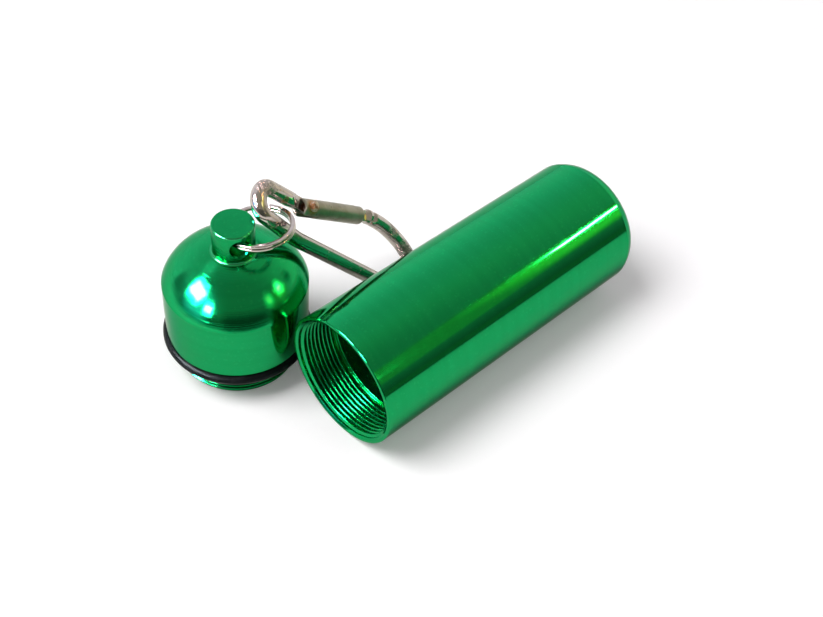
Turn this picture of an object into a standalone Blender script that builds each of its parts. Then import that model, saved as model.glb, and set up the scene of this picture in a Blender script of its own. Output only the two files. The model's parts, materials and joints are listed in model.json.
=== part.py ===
"""A screw-top waterproof capsule, opened: its tube lies on its side, its domed cap stands beside the
tube's mouth on its threaded skirt, and a snap hook hangs from the split ring in the cap's knob."""
import math

import bmesh
import bpy
from mathutils import Matrix, Vector

MM = 0.001

# Fits
SEAT_GAP = 0.3 * MM        # between pieces that seat on or turn in each other
OVERRUN = 1.0 * MM         # how far a cutter runs past the face that it cuts
MERGE = 0.00001 * MM       # points closer than this are one point

# Tube
TUBE_RADIUS = 12.7 * MM
TUBE_LENGTH = 65.4 * MM
TUBE_END_ROUND = 3.0 * MM
RIM_WALL = 1.0 * MM        # wall over the thread
THREAD_DEPTH = 8.4 * MM    # from the mouth to the shoulder
TUBE_WALL = 1.8 * MM       # wall past the shoulder
TUBE_FLOOR = 3.0 * MM
BORE_ROUND = 2.0 * MM
RIM_CHAMFER = 0.3 * MM

# Cap
BAND_RADIUS = 13.1 * MM
BAND_HEIGHT = 11.7 * MM
BAND_CHAMFER = 0.25 * MM
SKIRT_HEIGHT = 7.2 * MM
SKIRT_CHAMFER = 0.5 * MM
CAP_WALL = 1.7 * MM
CAVITY_DEPTH = 16.0 * MM
CAVITY_ROUND = 4.0 * MM
DOME_HEIGHT = 7.4 * MM
DOME_FLARE_SHARE = 1.01    # the dome's ellipse is this much wider than the band, which leaves a crease
KNOB_RADIUS = 3.8 * MM
KNOB_HEIGHT = 6.3 * MM
KNOB_CHAMFER = 0.3 * MM
KNOB_FOOT = 0.45 * MM      # width and radius of the fillet at the knob's foot
HOLE_RADIUS = 1.85 * MM
HOLE_RISE = 3.4 * MM       # the cross hole's axis above the knob's foot
SEAL_SECTION = 2.0 * MM

# Where the cap stands
CAP_AHEAD = 2.3 * MM       # ahead of the tube's mouth
CAP_STAND_OFF = 0.3 * MM   # clear of the tube, sideways
HOLE_AZIMUTH = math.radians(-109.0)

# Split ring
RING_RADIUS = 5.75 * MM    # to the middle of its wire
RING_WIDTH = 0.9 * MM      # of its wire, across the ring
RING_THICKNESS = 0.5 * MM  # of its wire, along the ring's axis
RING_TURN_GAP = 0.12 * MM
RING_TILT = math.radians(3.0)
RING_ROLL = math.radians(-9.0)     # about the way that it hangs, its near side raised
RING_PUSH = 0.2 * MM       # further into the hole than midway, which leaves room for the roll
RING_JOG = math.radians(36.0)      # the stretch in which the wire climbs from turn to turn
RING_END_GAP = math.radians(5.0)
RING_START = math.radians(95.0)    # the wire's first end, from the far side round to the back

# Snap hook
WIRE_RADIUS = 1.45 * MM
HOOK_LENGTH = 45.35 * MM   # between the corners of the bent wire's outline
HOOK_WIDTH = 11.36 * MM
NARROW_BEND = 3.0 * MM
LEG_BEND = 9.0 * MM
HEEL_BEND = 4.8 * MM
TOE_BEND = 3.2 * MM
LONG_BEND = 20.0 * MM      # from the nose to the toe, laid over two corners
NOSE_BEND = 8.0 * MM
# Corners of the wire's centre line, along and across the hook: narrow end, leg, heel, toe, the
# two of the long bend, and nose
NARROW_TOP_SHARES = (0.0, 0.572)
NARROW_FOOT_SHARES = (0.0, 0.137)
LEG_SHARES = (0.244, 0.0)
HEEL_SHARES = (0.978, 0.0)
TOE_SHARES = (1.034, 0.647)
LOW_BROW_SHARES = (0.937, 0.861)
HIGH_BROW_SHARES = (0.8, 0.995)
NOSE_SHARES = (0.684, 0.99)
RIVET_SHARES = (0.2805, 0.572)
SEAT_SHARE = 0.603         # where along the leg the split ring sits
HOOK_ROLL = math.radians(40.0)     # gate side raised, about the spine
HOOK_YAW = math.radians(4.3)       # away from the tube, so that the hook can swing up past it
FLOOR_GAP = 0.05 * MM

# Flattened ends of the hook's wire
TONGUE_THICKNESS = 1.0 * MM
TONGUE_WIDTH = 2.6 * MM
TONGUE_LENGTH = 3.2 * MM   # back from the rivet
TONGUE_FADE = 2.2 * MM     # the length in which the wire goes from round to flat
NOSE_WIDTH = 2.3 * MM
NOSE_TIP = 1.5 * MM        # of the flat nose, inside the gate
NOSE_FLAT = 3.9 * MM       # of the flat nose, outside the gate
NOSE_FADE = 0.9 * MM

# Gate
GATE_RADIUS = 1.75 * MM
GATE_LENGTH = 15.8 * MM    # from the rivet to the free end
GATE_HEEL = 1.9 * MM       # past the rivet
GATE_BORE = 1.25 * MM      # radius
GATE_BORE_DEPTH = 12.0 * MM
GATE_CHAMFER = 0.25 * MM
FORK_DEPTH = 2.6 * MM      # of the fork's slot, past the rivet
LATCH_DEPTH = 2.1 * MM     # of the slot for the nose
RIVET_RADIUS = 0.5 * MM
RIVET_HEAD = 0.95 * MM
RIVET_HEAD_HEIGHT = 0.5 * MM
PLUNGER_HEAD = 1.5 * MM
PLUNGER_STEM = 1.4 * MM
SPRING_WIRE = 0.17 * MM    # radius

# Counts and limits
TUBE_FACETS = 64
CAP_FACETS = 64
KNOB_ARC_STEPS = 4
DOME_STEPS = 11
CORNER_STEPS = 5
SEAL_SIDES = 10
RING_STEPS_PER_TURN = 36
WIRE_SIDES = 12
TIP_STEPS = 3
FADE_STEPS = 3
BEND_STEP = math.radians(12.0)
SHARP_ANGLE = math.radians(32.0)
STEEPEST_LEAN = math.radians(85.0)
LEAN_HALVINGS = 50
ROOM_SHARE = 0.49          # of a straight that one corner's arc may take
GATE_FACETS = 24
RIVET_FACETS = 16
HOLE_FACETS = 24
SPRING_TURNS = 7
SPRING_STEPS_PER_TURN = 10
SPRING_SIDES = 5

# Sizes that follow
THREAD_RADIUS = TUBE_RADIUS - RIM_WALL
BORE_RADIUS = TUBE_RADIUS - TUBE_WALL
SKIRT_RADIUS = THREAD_RADIUS - SEAT_GAP
CAVITY_RADIUS = SKIRT_RADIUS - CAP_WALL
SEAL_RADIUS = SKIRT_RADIUS + SEAT_GAP + SEAL_SECTION / 2
SEAL_HEIGHT = SKIRT_HEIGHT - SEAT_GAP - SEAL_SECTION / 2
DOME_FOOT = SKIRT_HEIGHT + BAND_HEIGHT
KNOB_BASE = DOME_FOOT + DOME_HEIGHT
KNOB_TOP = KNOB_BASE + KNOB_HEIGHT
HOLE_HEIGHT = KNOB_BASE + HOLE_RISE
TUBE_AXIS_HEIGHT = TUBE_RADIUS * math.cos(math.pi / TUBE_FACETS)
SEAL_REACH = SEAL_RADIUS + SEAL_SECTION / 2
SPRING_RADIUS = GATE_BORE - SEAT_GAP - SPRING_WIRE
PLUNGER_STEM_RADIUS = SPRING_RADIUS - SPRING_WIRE - SEAT_GAP
PLUNGER_START = TONGUE_WIDTH / 2 + SEAT_GAP
PLUNGER_SHOULDER = PLUNGER_START + PLUNGER_HEAD
RIVET_HOLE = RIVET_RADIUS + SEAT_GAP

# The origin is under the middle of the whole arrangement
CAP_Y_FROM_TUBE = TUBE_RADIUS + CAP_STAND_OFF + BAND_RADIUS
MOUTH_X = -(TUBE_LENGTH - CAP_AHEAD - SEAL_REACH) / 2
CAP_X = MOUTH_X - CAP_AHEAD
TUBE_Y = -(CAP_Y_FROM_TUBE + SEAL_REACH - TUBE_AXIS_HEIGHT) / 2
CAP_Y = TUBE_Y + CAP_Y_FROM_TUBE

Z_AXIS = Vector((0.0, 0.0, 1.0))


def clear_scene():
    for old in list(bpy.data.objects):
        bpy.data.objects.remove(old, do_unlink=True)


def make_material(name, colour, roughness, metallic):
    material = bpy.data.materials.new(name)
    material.use_nodes = True
    shader = material.node_tree.nodes["Principled BSDF"]
    shader.inputs["Base Color"].default_value = (*colour, 1.0)
    shader.inputs["Roughness"].default_value = roughness
    shader.inputs["Metallic"].default_value = metallic
    return material


def make_object(name, bm, material, place):
    """Turn a bmesh into a smooth-shaded object that stands at a place."""
    bmesh.ops.recalc_face_normals(bm, faces=bm.faces)
    mesh = bpy.data.meshes.new(name)
    bm.to_mesh(mesh)
    bm.free()
    mesh.shade_smooth()
    mesh.set_sharp_from_angle(angle=SHARP_ANGLE)
    obj = bpy.data.objects.new(name, mesh)
    obj.matrix_world = place
    if material:
        obj.data.materials.append(material)
    bpy.context.collection.objects.link(obj)
    return obj


def filleted(corners, step):
    """Points of a line through corners (x, y, radius), each corner rounded by an arc."""
    points = []
    last = len(corners) - 1
    for index, (x, y, radius) in enumerate(corners):
        here = Vector((x, y))
        if index in (0, last) or not radius:
            points.append(here)
            continue
        to_back = Vector(corners[index - 1][:2]) - here
        to_front = Vector(corners[index + 1][:2]) - here
        turn = math.pi - to_back.angle(to_front)
        room = min(to_back.length, to_front.length) * ROOM_SHARE
        cut = min(radius * math.tan(turn / 2), room)
        radius = cut / math.tan(turn / 2)
        start = here + to_back.normalized() * cut
        bisector = (to_back.normalized() + to_front.normalized()).normalized()
        centre = here + bisector * math.hypot(cut, radius)
        spoke = start - centre
        way = 1 if to_back.cross(to_front) < 0 else -1
        steps = max(1, math.ceil(turn / step))
        for count in range(steps + 1):
            angle = way * turn * count / steps
            points.append(centre + Matrix.Rotation(angle, 2) @ spoke)
    return points


def eased(share):
    """A share kept between 0 and 1 that starts and ends gently."""
    share = min(max(share, 0.0), 1.0)
    return share * share * (3 - 2 * share)


def turned(profile, facets, phase=0.0):
    """A closed solid turned about Z from points (radius, height) that begin and end on the axis
    or, when neither does, that go round a ring's section."""
    bm = bmesh.new()
    start = Matrix.Rotation(phase, 4, "Z")
    verts = [bm.verts.new(start @ Vector((radius, 0.0, height))) for radius, height in profile]
    edges = [bm.edges.new(pair) for pair in zip(verts, verts[1:])]
    if profile[0][0] > MERGE:
        edges.append(bm.edges.new((verts[-1], verts[0])))
    bmesh.ops.spin(bm, geom=verts + edges, cent=Vector(), axis=Z_AXIS, angle=math.tau,
                   steps=facets, use_merge=True)
    bmesh.ops.remove_doubles(bm, verts=bm.verts, dist=MERGE)
    return bm


def skin_rings(bm, rings, closed=False):
    """Join rings of points, in order, into one closed surface."""
    loops = [[bm.verts.new(point) for point in ring] for ring in rings]
    sides = len(loops[0])
    pairs = list(zip(loops, loops[1:]))
    if closed:
        pairs.append((loops[-1], loops[0]))
    for lower, upper in pairs:
        for index in range(sides):
            following = (index + 1) % sides
            bm.faces.new((lower[index], lower[following], upper[following], upper[index]))
    if not closed:
        bm.faces.new(loops[0])
        bm.faces.new(loops[-1])


def cut_with(obj, cutter):
    """Take a cutter away from an object. The cutter stays in the scene as a guide."""
    cutter.hide_render = True
    cutter.display_type = "WIRE"
    boolean = obj.modifiers.new(cutter.name, "BOOLEAN")
    boolean.operation = "DIFFERENCE"
    boolean.object = cutter


def rod_cutter(name, radius, start, end, place, facets=HOLE_FACETS):
    """A round cutter along Z of its place."""
    profile = [(0.0, start), (radius, start), (radius, end), (0.0, end)]
    return make_object(name, turned(profile, facets), None, place)


def box_cutter(name, low, high, place):
    """A box between two corners of its place."""
    bm = bmesh.new()
    bmesh.ops.create_cube(bm, size=1.0)
    low, high = Vector(low), Vector(high)
    for vert in bm.verts:
        share = vert.co + Vector((0.5, 0.5, 0.5))
        vert.co = low + Vector(a * b for a, b in zip(share, high - low))
    return make_object(name, bm, None, place)


# Places

def along(direction, side, origin):
    """A place whose X runs along a direction and whose Y is as near as can be to a side."""
    x = direction.normalized()
    z = x.cross(side).normalized()
    y = z.cross(x)
    place = Matrix((x, y, z)).transposed().to_4x4()
    place.translation = origin
    return place


CAP_PLACE = Matrix.Translation((CAP_X, CAP_Y, 0.0))
TUBE_PLACE = Matrix.Translation((MOUTH_X, TUBE_Y, TUBE_AXIS_HEIGHT)) @ Matrix.Rotation(math.pi / 2, 4, "Y")
HOLE_AXIS = Vector((math.cos(HOLE_AZIMUTH), math.sin(HOLE_AZIMUTH), 0.0))
HOLE_MIDDLE = Vector((CAP_X, CAP_Y, HOLE_HEIGHT))
RING_SIDE = Z_AXIS.cross(HOLE_AXIS)
RING_WAY = RING_SIDE * math.cos(RING_TILT) + Z_AXIS * math.sin(RING_TILT)
# The wire bends inside the hole, so it is centred between the hole's middle and its two mouths
RING_OFFSET = (RING_RADIUS + math.sqrt(RING_RADIUS ** 2 - KNOB_RADIUS ** 2)) / 2 - RING_PUSH
RING_MIDDLE = HOLE_MIDDLE + RING_WAY * RING_OFFSET
RING_FAR_SIDE = RING_MIDDLE + RING_WAY * RING_RADIUS
FAR_WIRE_WAY = Matrix.Rotation(RING_ROLL, 3, RING_WAY) @ HOLE_AXIS
RING_HEIGHT = 2 * RING_THICKNESS + RING_TURN_GAP


def hook_point(shares):
    return Vector((shares[0] * HOOK_LENGTH, shares[1] * HOOK_WIDTH))


RIVET_POINT = hook_point(RIVET_SHARES)
GATE_WAY = (hook_point(NOSE_SHARES) - RIVET_POINT).normalized()
NOSE_START = RIVET_POINT + GATE_WAY * (GATE_LENGTH - NOSE_TIP)


def hook_centre_line():
    """The bent wire's centre line, from the rivet round the narrow end and the spine to the nose."""
    corners = [
        (*RIVET_POINT, 0.0),
        (*hook_point(NARROW_TOP_SHARES), NARROW_BEND),
        (*hook_point(NARROW_FOOT_SHARES), NARROW_BEND),
        (*hook_point(LEG_SHARES), LEG_BEND),
        (*hook_point(HEEL_SHARES), HEEL_BEND),
        (*hook_point(TOE_SHARES), TOE_BEND),
        (*hook_point(LOW_BROW_SHARES), LONG_BEND),
        (*hook_point(HIGH_BROW_SHARES), LONG_BEND),
        (*hook_point(NOSE_SHARES), NOSE_BEND),
        (*NOSE_START, 0.0),
    ]
    return filleted(corners, BEND_STEP)


LEG_TOP = hook_point(NARROW_FOOT_SHARES)
LEG_WAY = (hook_point(LEG_SHARES) - LEG_TOP).normalized()
HOOK_SEAT = LEG_TOP.lerp(hook_point(LEG_SHARES), SEAT_SHARE)
SEAT_REACH = WIRE_RADIUS + SEAT_GAP + math.hypot(RING_WIDTH, RING_HEIGHT) / 2


def hook_place(pitch):
    """The hook's place when its spine runs down at a pitch and its leg sits against the ring."""
    level_way = RING_SIDE * math.cos(HOOK_YAW) + Z_AXIS.cross(RING_SIDE) * math.sin(HOOK_YAW)
    spine = level_way * math.cos(pitch) - Z_AXIS * math.sin(pitch)
    level = Z_AXIS.cross(spine).normalized()
    upward = spine.cross(level)
    across = level * math.cos(HOOK_ROLL) + upward * math.sin(HOOK_ROLL)
    place = along(spine, across, Vector())
    leg = place.to_3x3() @ LEG_WAY.to_3d()
    away = leg.cross(FAR_WIRE_WAY).normalized()
    if away.z < 0:
        away.negate()
    seat = RING_FAR_SIDE - away * SEAT_REACH
    place.translation = seat - place.to_3x3() @ HOOK_SEAT.to_3d()
    return place


def leaning_place():
    """The hook's place when its wide end has come down to the floor."""
    line = [point.to_3d() for point in hook_centre_line()]
    flat, steep = 0.0, STEEPEST_LEAN
    for _ in range(LEAN_HALVINGS):
        pitch = (flat + steep) / 2
        place = hook_place(pitch)
        lowest = min((place @ point).z for point in line)
        if lowest > WIRE_RADIUS + FLOOR_GAP:
            flat = pitch
        else:
            steep = pitch
    return hook_place(flat)


HOOK_PLACE = leaning_place()
GATE_PLACE = HOOK_PLACE @ Matrix.Translation(RIVET_POINT.to_3d()) @ Matrix.Rotation(
    math.atan2(GATE_WAY.y, GATE_WAY.x), 4, "Z")
RIVET_PLACE = HOOK_PLACE @ Matrix.Translation(RIVET_POINT.to_3d())
# Turned pieces of the gate are turned about Z, which this place lays along the gate
GATE_TURN = GATE_PLACE @ Matrix.Rotation(math.pi / 2, 4, "Y")


# Capsule and cap

def build_capsule_body(material):
    corners = [
        (0.0, TUBE_LENGTH - TUBE_FLOOR, 0.0),
        (BORE_RADIUS, TUBE_LENGTH - TUBE_FLOOR, BORE_ROUND),
        (BORE_RADIUS, THREAD_DEPTH, 0.0),
        (THREAD_RADIUS, THREAD_DEPTH, 0.0),
        (THREAD_RADIUS, 0.0, RIM_CHAMFER),
        (TUBE_RADIUS, 0.0, RIM_CHAMFER),
        (TUBE_RADIUS, TUBE_LENGTH, TUBE_END_ROUND),
        (0.0, TUBE_LENGTH, 0.0),
    ]
    profile = filleted(corners, math.radians(90.0) / CORNER_STEPS)
    bm = turned(profile, TUBE_FACETS, phase=math.pi / TUBE_FACETS)
    return make_object("capsule_body", bm, material, TUBE_PLACE)


def dome_curve():
    """Points up the dome's elliptical side, from the band to the knob's foot."""
    half_width = BAND_RADIUS * DOME_FLARE_SHARE
    start = math.asin(1 / DOME_FLARE_SHARE)
    end = math.asin((KNOB_RADIUS + KNOB_FOOT) / half_width)
    half_height = DOME_HEIGHT / (math.cos(end) - math.cos(start))
    base = KNOB_BASE - half_height * math.cos(end)
    curve = []
    for count in range(DOME_STEPS + 1):
        angle = start + (end - start) * count / DOME_STEPS
        curve.append(Vector((half_width * math.sin(angle), base + half_height * math.cos(angle))))
    return curve


def build_cap(material):
    cavity_top = [
        (0.0, CAVITY_DEPTH, 0.0),
        (CAVITY_RADIUS, CAVITY_DEPTH, CAVITY_ROUND),
        (CAVITY_RADIUS, 0.0, 0.0),
        (SKIRT_RADIUS, 0.0, SKIRT_CHAMFER),
        (SKIRT_RADIUS, SKIRT_HEIGHT, 0.0),
        (BAND_RADIUS, SKIRT_HEIGHT, BAND_CHAMFER),
        (BAND_RADIUS, DOME_FOOT, 0.0),
    ]
    profile = filleted(cavity_top, math.radians(90.0) / CORNER_STEPS)
    profile += dome_curve()[1:]
    for count in range(1, KNOB_ARC_STEPS + 1):
        angle = math.radians(90.0) * count / KNOB_ARC_STEPS
        profile.append(Vector((KNOB_RADIUS + KNOB_FOOT * (1 - math.sin(angle)),
                               KNOB_BASE + KNOB_FOOT * (1 - math.cos(angle)))))
    knob_corners = [
        (KNOB_RADIUS, KNOB_BASE + KNOB_FOOT, 0.0),
        (KNOB_RADIUS, KNOB_TOP, KNOB_CHAMFER),
        (0.0, KNOB_TOP, 0.0),
    ]
    profile += filleted(knob_corners, math.radians(45.0))[1:]
    cap = make_object("cap", turned(profile, CAP_FACETS), material, CAP_PLACE)
    hole_place = along(HOLE_AXIS, Z_AXIS, HOLE_MIDDLE) @ Matrix.Rotation(math.pi / 2, 4, "Y")
    reach = KNOB_RADIUS + OVERRUN
    cut_with(cap, rod_cutter("knob_hole_cutter", HOLE_RADIUS, -reach, reach, hole_place))
    return cap


def build_o_ring(material):
    section = []
    for count in range(SEAL_SIDES):
        angle = math.tau * count / SEAL_SIDES
        section.append((SEAL_RADIUS + SEAL_SECTION / 2 * math.cos(angle),
                        SEAL_HEIGHT + SEAL_SECTION / 2 * math.sin(angle)))
    return make_object("o_ring", turned(section, CAP_FACETS), material, CAP_PLACE)


# Split ring

def ring_climb(angle):
    """How far the wire has climbed along the ring's axis: flat, a smooth jog, flat again."""
    share = eased((angle - (math.tau - RING_JOG)) / RING_JOG)
    return (share - 0.5) * (RING_THICKNESS + RING_TURN_GAP)


def build_split_ring(material):
    end = 2 * math.tau - RING_JOG - RING_END_GAP
    steps = round(RING_STEPS_PER_TURN * end / math.tau)
    half_width, half_height = RING_WIDTH / 2, RING_THICKNESS / 2
    corner = half_height / 2
    section = [
        (half_width, -half_height + corner), (half_width, half_height - corner),
        (half_width - corner, half_height), (-half_width + corner, half_height),
        (-half_width, half_height - corner), (-half_width, -half_height + corner),
        (-half_width + corner, -half_height), (half_width - corner, -half_height),
    ]
    rings = []
    for count in range(steps + 1):
        angle = end * count / steps
        spoke = Vector((math.cos(angle), math.sin(angle), 0.0))
        climb = ring_climb(angle)
        rings.append([spoke * (RING_RADIUS + out) + Z_AXIS * (climb + up) for out, up in section])
    bm = bmesh.new()
    skin_rings(bm, rings)
    lay = along(RING_WAY, -FAR_WIRE_WAY, RING_MIDDLE) @ Matrix.Rotation(RING_START, 4, "Z")
    return make_object("split_ring", bm, material, lay)


# Snap hook

def flatness(run, full, fade):
    """How flat the wire is at a run from its end: 1 as far as full, then fading to 0."""
    return eased(1.0 - (run - full) / fade)


def wire_ring(point, way, half_width, half_thickness):
    """A section of the wire, square to its way, flattened where its thickness is small."""
    side = Vector((-way.y, way.x, 0.0))
    ring = []
    for count in range(WIRE_SIDES):
        angle = math.tau * (count + 0.5) / WIRE_SIDES
        up = WIRE_RADIUS * math.sin(angle)
        up = max(-half_thickness, min(half_thickness, up))
        ring.append(point.to_3d() + side * (half_width * math.cos(angle)) + Z_AXIS * up)
    return ring


def run_lengths(line):
    runs = [0.0]
    for start, end in zip(line, line[1:]):
        runs.append(runs[-1] + (end - start).length)
    return runs


def with_extra_points(line, runs_wanted):
    """The line with a point added at each wanted run from its start."""
    runs = run_lengths(line)
    merged = list(zip(runs, line))
    for wanted in runs_wanted:
        for (run, start), (next_run, end) in zip(zip(runs, line), zip(runs[1:], line[1:])):
            if run < wanted < next_run:
                merged.append((wanted, start.lerp(end, (wanted - run) / (next_run - run))))
    merged.sort(key=lambda pair: pair[0])
    return [point for _, point in merged]


def build_hook_frame(material):
    line = hook_centre_line()
    total = run_lengths(line)[-1]
    half_tongue = TONGUE_WIDTH / 2
    nose_full = NOSE_TIP + NOSE_FLAT
    fade_shares = [count / FADE_STEPS for count in range(FADE_STEPS + 1)]
    tongue_runs = [TONGUE_LENGTH + TONGUE_FADE * share for share in fade_shares]
    nose_runs = [total - nose_full - NOSE_FADE * share for share in fade_shares]
    line = with_extra_points(line, tongue_runs + nose_runs)
    runs = run_lengths(line)
    rings = []
    # The tongue's end is round about the rivet
    tip_way = (line[1] - line[0]).normalized()
    for count in range(TIP_STEPS, 0, -1):
        angle = math.radians(90.0) * count / (TIP_STEPS + 0.5)
        point = line[0] - tip_way * (half_tongue * math.sin(angle))
        rings.append(wire_ring(point, tip_way, half_tongue * math.cos(angle), TONGUE_THICKNESS / 2))
    for index, (point, run) in enumerate(zip(line, runs)):
        before = line[max(index - 1, 0)]
        after = line[min(index + 1, len(line) - 1)]
        way = (after - before).normalized()
        tongue = flatness(run, TONGUE_LENGTH, TONGUE_FADE)
        nose = flatness(total - run, nose_full, NOSE_FADE)
        flat = max(tongue, nose)
        flat_width = half_tongue if tongue >= nose else NOSE_WIDTH / 2
        half_width = WIRE_RADIUS + (flat_width - WIRE_RADIUS) * flat
        half_thickness = WIRE_RADIUS + (TONGUE_THICKNESS / 2 - WIRE_RADIUS) * flat
        rings.append(wire_ring(point, way, half_width, half_thickness))
    bm = bmesh.new()
    skin_rings(bm, rings)
    frame = make_object("hook_frame", bm, material, HOOK_PLACE)
    reach = TONGUE_THICKNESS / 2 + OVERRUN
    cut_with(frame, rod_cutter("tongue_hole_cutter", RIVET_HOLE, -reach, reach, RIVET_PLACE,
                               RIVET_FACETS))
    return frame


def build_hook_gate(material):
    corners = [
        (0.0, GATE_BORE_DEPTH, 0.0),
        (GATE_BORE, GATE_BORE_DEPTH, 0.0),
        (GATE_BORE, -GATE_HEEL, 0.0),
        (GATE_RADIUS, -GATE_HEEL, GATE_CHAMFER),
        (GATE_RADIUS, GATE_LENGTH, GATE_CHAMFER),
        (0.0, GATE_LENGTH, 0.0),
    ]
    profile = filleted(corners, math.radians(45.0))
    gate = make_object("hook_gate", turned(profile, GATE_FACETS), material, GATE_TURN)
    slot = TONGUE_THICKNESS / 2 + SEAT_GAP
    reach = GATE_RADIUS + OVERRUN
    fork = box_cutter("fork_cutter", (-GATE_HEEL - OVERRUN, -reach, -slot),
                      (FORK_DEPTH, reach, slot), GATE_PLACE)
    cut_with(gate, fork)
    latch_floor = -NOSE_WIDTH / 2 - SEAT_GAP
    latch = box_cutter("latch_cutter", (GATE_LENGTH - LATCH_DEPTH, latch_floor, -slot),
                       (GATE_LENGTH + OVERRUN, reach, slot), GATE_PLACE)
    cut_with(gate, latch)
    cut_with(gate, rod_cutter("fork_hole_cutter", RIVET_HOLE, -reach, reach, RIVET_PLACE,
                              RIVET_FACETS))
    return gate


def build_gate_rivet(material):
    seat = GATE_RADIUS + SEAT_GAP
    top = seat + RIVET_HEAD_HEIGHT
    crown = RIVET_HEAD_HEIGHT / 2
    corners = [
        (0.0, -top, 0.0),
        (RIVET_HEAD, -top, crown),
        (RIVET_HEAD, -seat, 0.0),
        (RIVET_RADIUS, -seat, 0.0),
        (RIVET_RADIUS, seat, 0.0),
        (RIVET_HEAD, seat, 0.0),
        (RIVET_HEAD, top, crown),
        (0.0, top, 0.0),
    ]
    profile = filleted(corners, math.radians(30.0))
    return make_object("gate_rivet", turned(profile, RIVET_FACETS), material, RIVET_PLACE)


def build_gate_plunger(material):
    head = GATE_BORE - SEAT_GAP
    end = PLUNGER_SHOULDER + PLUNGER_STEM
    corners = [
        (0.0, PLUNGER_START, 0.0),
        (head, PLUNGER_START, GATE_CHAMFER),
        (head, PLUNGER_SHOULDER, 0.0),
        (PLUNGER_STEM_RADIUS, PLUNGER_SHOULDER, 0.0),
        (PLUNGER_STEM_RADIUS, end, 0.0),
        (0.0, end, 0.0),
    ]
    profile = filleted(corners, math.radians(45.0))
    return make_object("gate_plunger", turned(profile, RIVET_FACETS), material, GATE_TURN)


def build_gate_spring(material):
    start = PLUNGER_SHOULDER + SEAT_GAP + SPRING_WIRE
    end = GATE_BORE_DEPTH - SEAT_GAP - SPRING_WIRE
    steps = SPRING_TURNS * SPRING_STEPS_PER_TURN
    rings = []
    for count in range(steps + 1):
        angle = math.tau * count / SPRING_STEPS_PER_TURN
        spoke = Vector((math.cos(angle), math.sin(angle), 0.0))
        middle = spoke * SPRING_RADIUS + Z_AXIS * (start + (end - start) * count / steps)
        ring = []
        for side in range(SPRING_SIDES):
            turn = math.tau * side / SPRING_SIDES
            ring.append(middle + spoke * (SPRING_WIRE * math.cos(turn))
                        + Z_AXIS * (SPRING_WIRE * math.sin(turn)))
        rings.append(ring)
    bm = bmesh.new()
    skin_rings(bm, rings)
    return make_object("gate_spring", bm, material, GATE_TURN)


def main():
    clear_scene()
    anodised = make_material("green_anodised", (0.02, 0.34, 0.09), 0.22, 1.0)
    rubber = make_material("seal_rubber", (0.012, 0.013, 0.016), 0.5, 0.0)
    ring_steel = make_material("ring_steel", (0.62, 0.59, 0.56), 0.16, 1.0)
    hook_steel = make_material("hook_steel", (0.64, 0.61, 0.58), 0.18, 1.0)
    gate_steel = make_material("gate_steel", (0.36, 0.34, 0.29), 0.38, 1.0)
    rivet_steel = make_material("rivet_steel", (0.45, 0.33, 0.22), 0.4, 1.0)
    spring_steel = make_material("spring_steel", (0.5, 0.5, 0.5), 0.3, 1.0)
    build_capsule_body(anodised)
    build_cap(anodised)
    build_o_ring(rubber)
    build_split_ring(ring_steel)
    build_hook_frame(hook_steel)
    build_hook_gate(gate_steel)
    build_gate_rivet(rivet_steel)
    build_gate_plunger(spring_steel)
    build_gate_spring(spring_steel)


main()
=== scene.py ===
"""The waterproof capsule's looks: its turned tube, cap and seal, its split ring and its snap hook,
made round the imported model, with the plain studio that they stand in."""
import json
import math

import bmesh
import bpy
from mathutils import Matrix, Vector


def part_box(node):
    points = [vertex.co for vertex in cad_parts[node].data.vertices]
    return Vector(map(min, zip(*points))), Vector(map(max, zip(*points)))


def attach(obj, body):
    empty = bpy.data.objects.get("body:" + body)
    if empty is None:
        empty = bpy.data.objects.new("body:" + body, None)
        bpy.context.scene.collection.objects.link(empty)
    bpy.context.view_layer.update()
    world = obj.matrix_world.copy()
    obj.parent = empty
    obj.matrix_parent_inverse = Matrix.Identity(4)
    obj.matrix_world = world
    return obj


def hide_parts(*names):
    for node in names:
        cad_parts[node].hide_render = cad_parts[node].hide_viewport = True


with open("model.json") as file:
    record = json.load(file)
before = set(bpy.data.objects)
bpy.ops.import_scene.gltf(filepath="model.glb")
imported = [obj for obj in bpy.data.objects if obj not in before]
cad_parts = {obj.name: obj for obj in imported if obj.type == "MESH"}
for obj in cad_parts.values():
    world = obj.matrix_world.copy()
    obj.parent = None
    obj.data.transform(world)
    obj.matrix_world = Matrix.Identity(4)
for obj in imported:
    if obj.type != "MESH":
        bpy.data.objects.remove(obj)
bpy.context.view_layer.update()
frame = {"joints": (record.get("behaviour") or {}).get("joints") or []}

MM = 0.001
MERGE = 0.00005 * MM
OVERRUN = 1.0 * MM
FULL_TURN = math.tau
QUARTER_TURN = math.pi / 2
UP = Vector((0.0, 0.0, 1.0))

# Tube, as its turned outline's sizes
TUBE_RADIUS = 12.7 * MM
TUBE_LENGTH = 65.4 * MM
TUBE_FLOOR = 3.0 * MM
TUBE_END_ROUND = 3.0 * MM
TUBE_END_CREASE = math.radians(24.0)    # at which the end's round starts, as on the real tube
TUBE_END_STEPS = 12
RIM_WALL = 1.0 * MM
RIM_CHAMFER = 0.3 * MM
RIM_LEAD_IN = 0.42 * MM
RIM_SOFTNESS = 0.06 * MM
THREAD_DEPTH = 8.4 * MM
THREAD_END_ROUND = 0.1 * MM
BORE_RADIUS = 10.9 * MM
BORE_LIP = 0.1 * MM
BORE_ROUND = 2.0 * MM

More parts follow.
